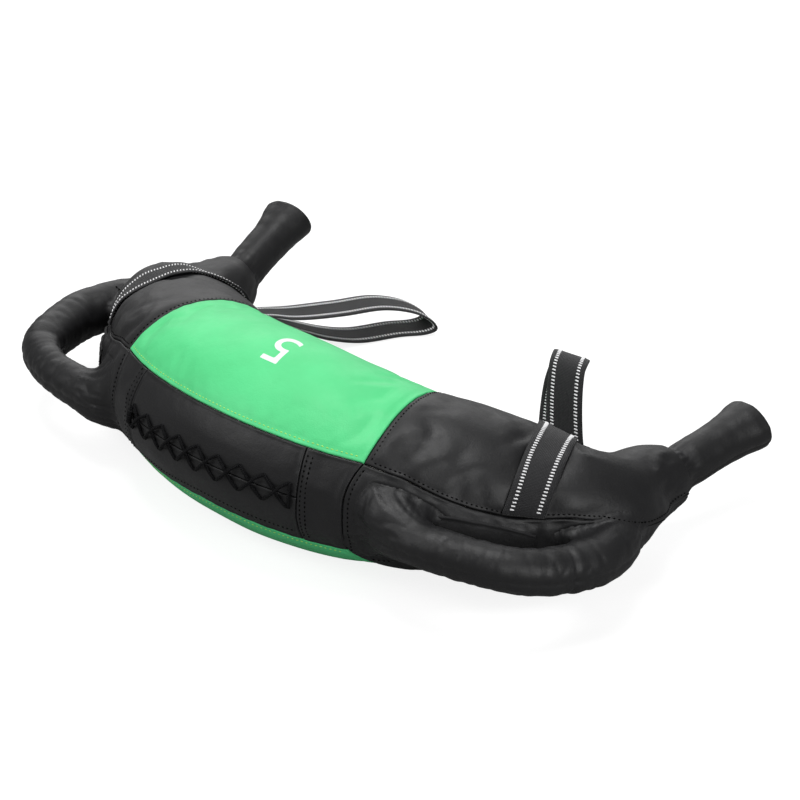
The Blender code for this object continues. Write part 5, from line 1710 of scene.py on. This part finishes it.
def lace_places():
    columns = np.linspace(-LACE_HALF_SPAN, LACE_HALF_SPAN, LACE_COLUMNS)
    shift, upper, lower = LACE_SHIFT, LACE_UPPER_ANGLE, LACE_LOWER_ANGLE
    knot_reach = (KNOT_LENGTH / 2 + FIT_GAP) / HALF_HEIGHT
    middle = (upper + lower) / 2
    first = columns[0]
    route = [(first - shift, middle - knot_reach, LACE_OVER)]
    route += lace_hole(False, True, first - shift)
    route += lace_run((first - shift, lower), (first + shift, upper), LACE_UNDER, 0)
    for here, there in zip(columns[:-1], columns[1:]):
        route += lace_hole(True, False, here + shift)
        route += lace_run((here + shift, upper), (there - shift, lower), LACE_OVER, 0)
        route += lace_hole(False, True, there - shift)
        route += lace_run((there - shift, lower), (there + shift, upper), LACE_UNDER, 0)
    last = columns[-1]
    route += lace_hole(True, False, last + shift)
    route += lace_run((last + shift, upper), (last + shift, lower), LACE_OVER, 0)
    route += lace_hole(False, True, last + shift)
    route += lace_run((last + shift, lower), (last - shift, upper), LACE_UNDER, LACE_LAYER)
    for here, there in zip(columns[:0:-1], columns[-2::-1]):
        route += lace_hole(True, False, here - shift)
        route += lace_run((here - shift, upper), (there + shift, lower), LACE_OVER, -LACE_LAYER)
        route += lace_hole(False, True, there + shift)
        route += lace_run((there + shift, lower), (there - shift, upper), LACE_UNDER, LACE_LAYER)
    route += lace_hole(True, False, first - shift)
    route.append((first - shift, middle + knot_reach, LACE_OVER))
    return np.array(route)


def tube_mesh(name, line, radius, sides, surface):
    """Round cord along a line of points, with its length and girth as texture places."""
    tangents = unit(np.gradient(line, axis=0))
    side = np.cross(tangents[0], (0, 0, 1))
    if np.linalg.norm(side) < 0.1:
        side = np.cross(tangents[0], (1, 0, 0))
    radius = np.broadcast_to(radius, (len(line),))
    angles = np.linspace(0, 2 * math.pi, sides, endpoint=False)
    rings = []
    for point, tangent, size in zip(line, tangents, radius):
        side = unit(side - tangent * (side @ tangent))
        lift = np.cross(side, tangent)
        rings.append(point + size * (np.outer(np.cos(angles), side) + np.outer(np.sin(angles), lift)))
    rings = np.array(rings)
    arc = np.concatenate([[0], np.cumsum(np.linalg.norm(np.diff(line, axis=0), axis=1))])
    uvs = np.stack(np.meshgrid(arc, np.abs(angles - math.pi) * radius.mean(), indexing="ij"), -1)
    faces = [*grid_faces(len(line), sides, 0, True, True)]
    faces.append(tuple(range(sides)))
    faces.append(tuple(range(len(line) * sides - 1, (len(line) - 1) * sides - 1, -1)))
    return mesh_object(name, rings.reshape(-1, 3), faces, surface, uvs.reshape(-1, 2))


def make_lacing():
    make_lace()
    make_knot()
    make_tongue()


def make_lace():
    route = lace_places()
    line = cover_point(route[:, 0], route[:, 1])
    height = np.where(route[:, 2:3] < 0, route[:, 2:3] * LACE_FLAT_SHARE, route[:, 2:3])
    line = line - cover_normal(route[:, 0], route[:, 1]) * height
    fine = smooth(line, np.linspace(0, len(line) - 1, 6 * (len(line) - 1) + 1))[0]
    lace = tube_mesh("lace_braid", fine, LACE_DRAWN_RADIUS, 8, CORD)
    dress(lace)
    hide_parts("lace")


def make_knot():
    """The cord's ends wound into a small bundle beside the first hole."""
    s = -LACE_HALF_SPAN - LACE_SHIFT
    middle = (LACE_UPPER_ANGLE + LACE_LOWER_ANGLE) / 2
    reach = KNOT_LENGTH / HALF_HEIGHT
    turns = np.linspace(0, 1, 170)
    t = middle + reach * (turns - 0.5) * KNOT_FILL_SHARE
    wind = turns * 2 * math.pi * KNOT_TURNS
    height = KNOT_RADIUS + FIT_GAP + KNOT_WIND_HEIGHT * np.sin(wind)
    line = cover_point(s + KNOT_WIND_REACH * np.cos(wind), t) + cover_normal(s + 0 * t, t) * height[:, None]
    knot = tube_mesh("lace_bundle", line, KNOT_CORD_RADIUS, 8, CORD)
    dress(knot)
    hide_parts("lace_knot")


def make_tongue():
    """The strip behind the laced slit."""
    depth = LACE_UNDER + LACE_LAYER + LACE_RADIUS + LACE_CLEARANCE
    s = np.linspace(-TONGUE_HALF_LENGTH, TONGUE_HALF_LENGTH, 60)[:, None]
    low, high = LACE_LOWER_ANGLE - TONGUE_MARGIN_ANGLE, LACE_UPPER_ANGLE + TONGUE_MARGIN_ANGLE
    t = np.linspace(low, high, 20)[None, :]
    s, t = np.broadcast_arrays(s, t)
    outer = cover_point(s, t, depth)
    normal = cover_normal(s, t)
    outer = outer + normal * (TONGUE_SWAY * lumps(outer, TONGUE_SWAY_SIZE, 51))[..., None]
    tongue = sheet_mesh("lacing_tongue", outer, outer - normal * TONGUE_THICKNESS, LINING)
    dress(tongue)
    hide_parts("lace_tongue")


# Stitches and the number


# How far over the cover a stitch starts to drop, and how far it drops at most
DROP_HEIGHT = 0.012
DROP_REACH = 0.03


def skin_tree(objs):
    points, faces = [], []
    for obj in objs:
        first = len(points)
        points += [v.co.copy() for v in obj.data.vertices]
        faces += [tuple(first + i for i in p.vertices) for p in obj.data.polygons]
    return BVHTree.FromPolygons(points, faces)


def dropped(tree, points, normals, lift):
    """Points laid on the skins from outside, with their normals there."""
    places, facing = [], []
    for point, normal in zip(points, normals):
        start = Vector(point + normal * DROP_HEIGHT)
        hit, there, _, _ = tree.ray_cast(start, Vector(-normal), DROP_REACH)
        if hit is None:
            hit, there = Vector(point), Vector(normal)
        if there.dot(Vector(normal)) < 0:
            there = -there
        places.append(np.array(hit) + np.array(there) * lift)
        facing.append(np.array(there))
    return np.array(places), np.array(facing)


def stitch_line(tree, places, points, faces, radius=STITCH_RADIUS):
    """Add short rounded stitches along a line of places on the cover."""
    s, t = places[:, 0], places[:, 1]
    line, normals = dropped(tree, cover_point(s, t), cover_normal(s, t), 0.00005)
    apart = np.linalg.norm(np.diff(line, axis=0), axis=1)
    arc = np.concatenate([[0], np.cumsum(apart)])
    for start in np.arange(STITCH_PITCH / 2, arc[-1] - STITCH_LENGTH, STITCH_PITCH):
        ends = np.array([start, start + STITCH_LENGTH / 2, start + STITCH_LENGTH])
        spots = np.stack([np.interp(ends, arc, line[:, k]) for k in range(3)], -1)
        normal = unit(np.array([np.interp(ends[1], arc, normals[:, k]) for k in range(3)]))
        along = unit(spots[2] - spots[0])
        side = np.cross(along, normal)
        spots[0] -= normal * radius
        spots[2] -= normal * radius
        first = len(points)
        for spot, size in zip(spots, (0.6, 1.0, 0.6)):
            for angle in np.arange(6) * math.pi / 3:
                turned = math.cos(angle) * side + math.sin(angle) * normal
                points.append(spot + radius * size * turned)
        for layer in range(2):
            for k in range(6):
                n = (k + 1) % 6
                a, b = first + layer * 6 + k, first + layer * 6 + n
                faces.append((a, b, b + 6, a + 6))
        faces.append(tuple(first + k for k in range(5, -1, -1)))
        faces.append(tuple(first + 12 + k for k in range(6)))


def seam_run(s_from, s_to, seam, offset):
    """Places along a seam that runs along the bag, offset metres above it."""
    s = np.linspace(s_from, s_to, max(12, int(abs(s_to - s_from) / 0.003)))
    return np.stack([s, seam(s) + offset / section(s)[4]], -1)


def girth_run(t_from, t_to, edge, offset):
    """Places along a seam that runs round the bag, offset metres outside it."""
    t = np.linspace(t_from, t_to, max(12, int(abs(t_to - t_from) / 0.04)))
    return np.stack([edge(t) + offset, t], -1)


# Stitched rows along the bag in lime: half length, seam and offset from it
LIME_ROWS = ((0.099, top_seam, 0.0036), (0.090, low_seam, -0.0036))
# Black rows round the bag on each side: first and last angle, edge and offset from it
GIRTH_ROWS = (
    (-0.42, 0.68, constant(LACED_HALF_LENGTH), 0.0022),
    (-0.42, 0.68, constant(LACED_HALF_LENGTH), 0.0052),
    (0.72, BACK_SEAM_ANGLE - 0.05, green_top_edge, 0.0030),
    (-0.50, 0.66, front_panel_edge, 0.0030),
)
LACING_ROW_END = LACED_HALF_LENGTH - 0.002
LACING_ROW_OFFSET = 0.0105
END_ROW_PLACES = (0.104, 0.315)
END_ROW_OFFSET = 0.0030


def make_stitches(tree):
    lime, black = ([], []), ([], [])
    for end, seam, offset in LIME_ROWS:
        stitch_line(tree, seam_run(-end, end, seam, offset), *lime, LIME_STITCH_RADIUS)
    stitch_line(tree, seam_run(-LACING_ROW_END, LACING_ROW_END, low_seam, LACING_ROW_OFFSET), *black)
    for side in (-1, 1):
        for row in GIRTH_ROWS:
            stitch_line(tree, girth_run(*row) * np.array([side, 1]), *black)
        first, last = (side * place for place in END_ROW_PLACES)
        stitch_line(tree, seam_run(first, last, top_seam, END_ROW_OFFSET), *black)
        stitch_line(tree, seam_run(first, last, low_seam, -END_ROW_OFFSET), *black)
    for name, (points, faces), surface, slot in (
        ("stitches_lime", lime, LIME_THREAD, "green_cover"),
        ("stitches_black", black, BLACK_THREAD, "black_cover"),
    ):
        dress(mesh_object(name, points, faces, surface))


NUMBER_SIZE = 0.046
NUMBER_PLACE = 0.010
NUMBER_ANGLE = 1.60
NUMBER_SLANT = 0.16
NUMBER_BLOCK = 0.004
NUMBER_CELL = 0.0007
NUMBER_TOP = 0.00028
NUMBER_BOTTOM = -0.0003


def make_number(tree):
    """A plain printed figure where the photographed bag carries its mark."""
    text = bpy.data.curves.new("figure", "FONT")
    text.body = "5"
    text.size = NUMBER_SIZE
    text.align_x = "CENTER"
    text.align_y = "CENTER"
    holder = bpy.data.objects.new("figure", text)
    bpy.context.scene.collection.objects.link(holder)
    graph = bpy.context.evaluated_depsgraph_get()
    mesh = bpy.data.meshes.new_from_object(holder.evaluated_get(graph))
    bpy.data.objects.remove(holder)
    obj = bpy.data.objects.new("printed_number", mesh)
    bpy.context.scene.collection.objects.link(obj)
    block = obj.modifiers.new("even", "SOLIDIFY")
    block.thickness = NUMBER_BLOCK
    even = obj.modifiers.new("voxel", "REMESH")
    even.mode = "VOXEL"
    even.voxel_size = NUMBER_CELL
    graph = bpy.context.evaluated_depsgraph_get()
    shaped = bpy.data.meshes.new_from_object(obj.evaluated_get(graph))
    bpy.data.objects.remove(obj)
    flat = np.array([v.co for v in shaped.vertices])
    s = NUMBER_PLACE - (flat[:, 0] - NUMBER_SLANT * flat[:, 1])
    t = NUMBER_ANGLE - flat[:, 1] / HALF_HEIGHT
    places, facing = dropped(tree, cover_point(s, t), cover_normal(s, t), 0.0)
    depth = np.where(flat[:, 2] > flat[:, 2].mean(), NUMBER_TOP, NUMBER_BOTTOM)
    for vertex, place, normal, lift in zip(shaped.vertices, places, facing, depth):
        vertex.co = Vector(place + normal * lift)
    shaped.materials.clear()
    shaped.materials.append(NUMBER_INK)
    shaped.shade_smooth()
    obj = bpy.data.objects.new("printed_number", shaped)
    bpy.context.scene.collection.objects.link(obj)
    dress(obj)


# Stage


FLOOR_HALF_SIZE = 6.0
FLOOR_GLOW = 0.84
LIGHT_TARGET = (0, 0.05, 0.05)
# Lights: name, place, size and power in watts
LIGHTS = (
    ("overhead", (-0.1, 0.1, 1.85), (1.0, 1.0), 22),
    ("back", (-1.55, 1.6, 1.0), (2.4, 1.3), 21),
    ("key", (-0.9, -1.3, 1.3), (0.9, 0.7), 11),
    ("fill", (1.7, -0.5, 0.9), (1.0, 0.8), 15),
)
WORLD_LIGHT = 0.20
CAMERA_LENS = 107.8
CAMERA_PLACE = (1.0850, -1.0410, 0.9620)
CAMERA_TILT = 60
CAMERA_TURN = 42.674


def make_stage():
    size = FLOOR_HALF_SIZE
    corners = [(-size, -size, 0), (size, -size, 0), (size, size, 0), (-size, size, 0)]
    nodes = Nodes("studio floor")
    speckle = nodes.noise(3, 2)
    nodes.feed("Base Color", nodes.tint(speckle, (0.30, 0.30, 0.30), (0.32, 0.32, 0.32)))
    nodes.set("Roughness", 0.9)
    nodes.set("Specular IOR Level", 0.1)
    rays = nodes.new("ShaderNodeLightPath").outputs["Is Camera Ray"]
    nodes.set("Emission Color", (1, 1, 1, 1))
    nodes.feed("Emission Strength", nodes.ramp(rays, 0, 1, 0, FLOOR_GLOW))
    floor = mesh_object("floor", corners, [(0, 1, 2, 3)], nodes.made)


def add_light(name, place, size, power):
    lamp = bpy.data.lights.new(name, "AREA")
    lamp.shape = "RECTANGLE"
    lamp.size, lamp.size_y = size
    lamp.energy = power
    obj = bpy.data.objects.new(name, lamp)
    obj.location = place
    obj.rotation_euler = (Vector(LIGHT_TARGET) - Vector(place)).to_track_quat("-Z", "Y").to_euler()
    bpy.context.scene.collection.objects.link(obj)


def make_lights():
    for light in LIGHTS:
        add_light(*light)
    world = bpy.data.worlds.new("studio")
    world.use_nodes = True
    tree = world.node_tree
    background = tree.nodes["Background"]
    background.inputs["Color"].default_value = (1, 1, 1, 1)
    rays = tree.nodes.new("ShaderNodeLightPath")
    strength = tree.nodes.new("ShaderNodeMapRange")
    strength.inputs["To Min"].default_value = WORLD_LIGHT
    strength.inputs["To Max"].default_value = 1.0
    tree.links.new(rays.outputs["Is Camera Ray"], strength.inputs["Value"])
    tree.links.new(strength.outputs["Result"], background.inputs["Strength"])
    bpy.context.scene.world = world


def make_camera():
    data = bpy.data.cameras.new("camera")
    data.sensor_width = 36
    data.lens = CAMERA_LENS
    data.clip_end = 20
    camera = bpy.data.objects.new("camera", data)
    camera.location = CAMERA_PLACE
    camera.rotation_euler = (math.radians(CAMERA_TILT), 0, math.radians(CAMERA_TURN))
    bpy.context.scene.collection.objects.link(camera)
    bpy.context.scene.camera = camera


def dress_hidden_nodes():
    """Give the filling inside its own cloth and fibre looks."""
    for node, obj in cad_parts.items():
        surface = BLACK
        if node == "padding_wrap":
            surface = FOAM
        elif node.startswith("sand_bag"):
            surface = SANDBAG
        elif "core" in node or "stuffing" in node:
            surface = FIBRE
        for material_slot in obj.material_slots:
            material_slot.material = surface


def main():
    bpy.context.scene.view_settings.view_transform = "Standard"
    make_camera()
    dress_hidden_nodes()
    panels = make_panels()
    skins = [panel.obj for panel in panels.values()]
    for name, side in SIDES.items():
        skins.append(make_handle(name, side, panels))
        make_horn(name, side)
    make_lacing()
    tree = skin_tree(skins)
    for name, side in SIDES.items():
        make_strap(name, side, tree)
    make_stitches(tree)
    make_number(tree)
    make_stage()
    make_lights()


main()
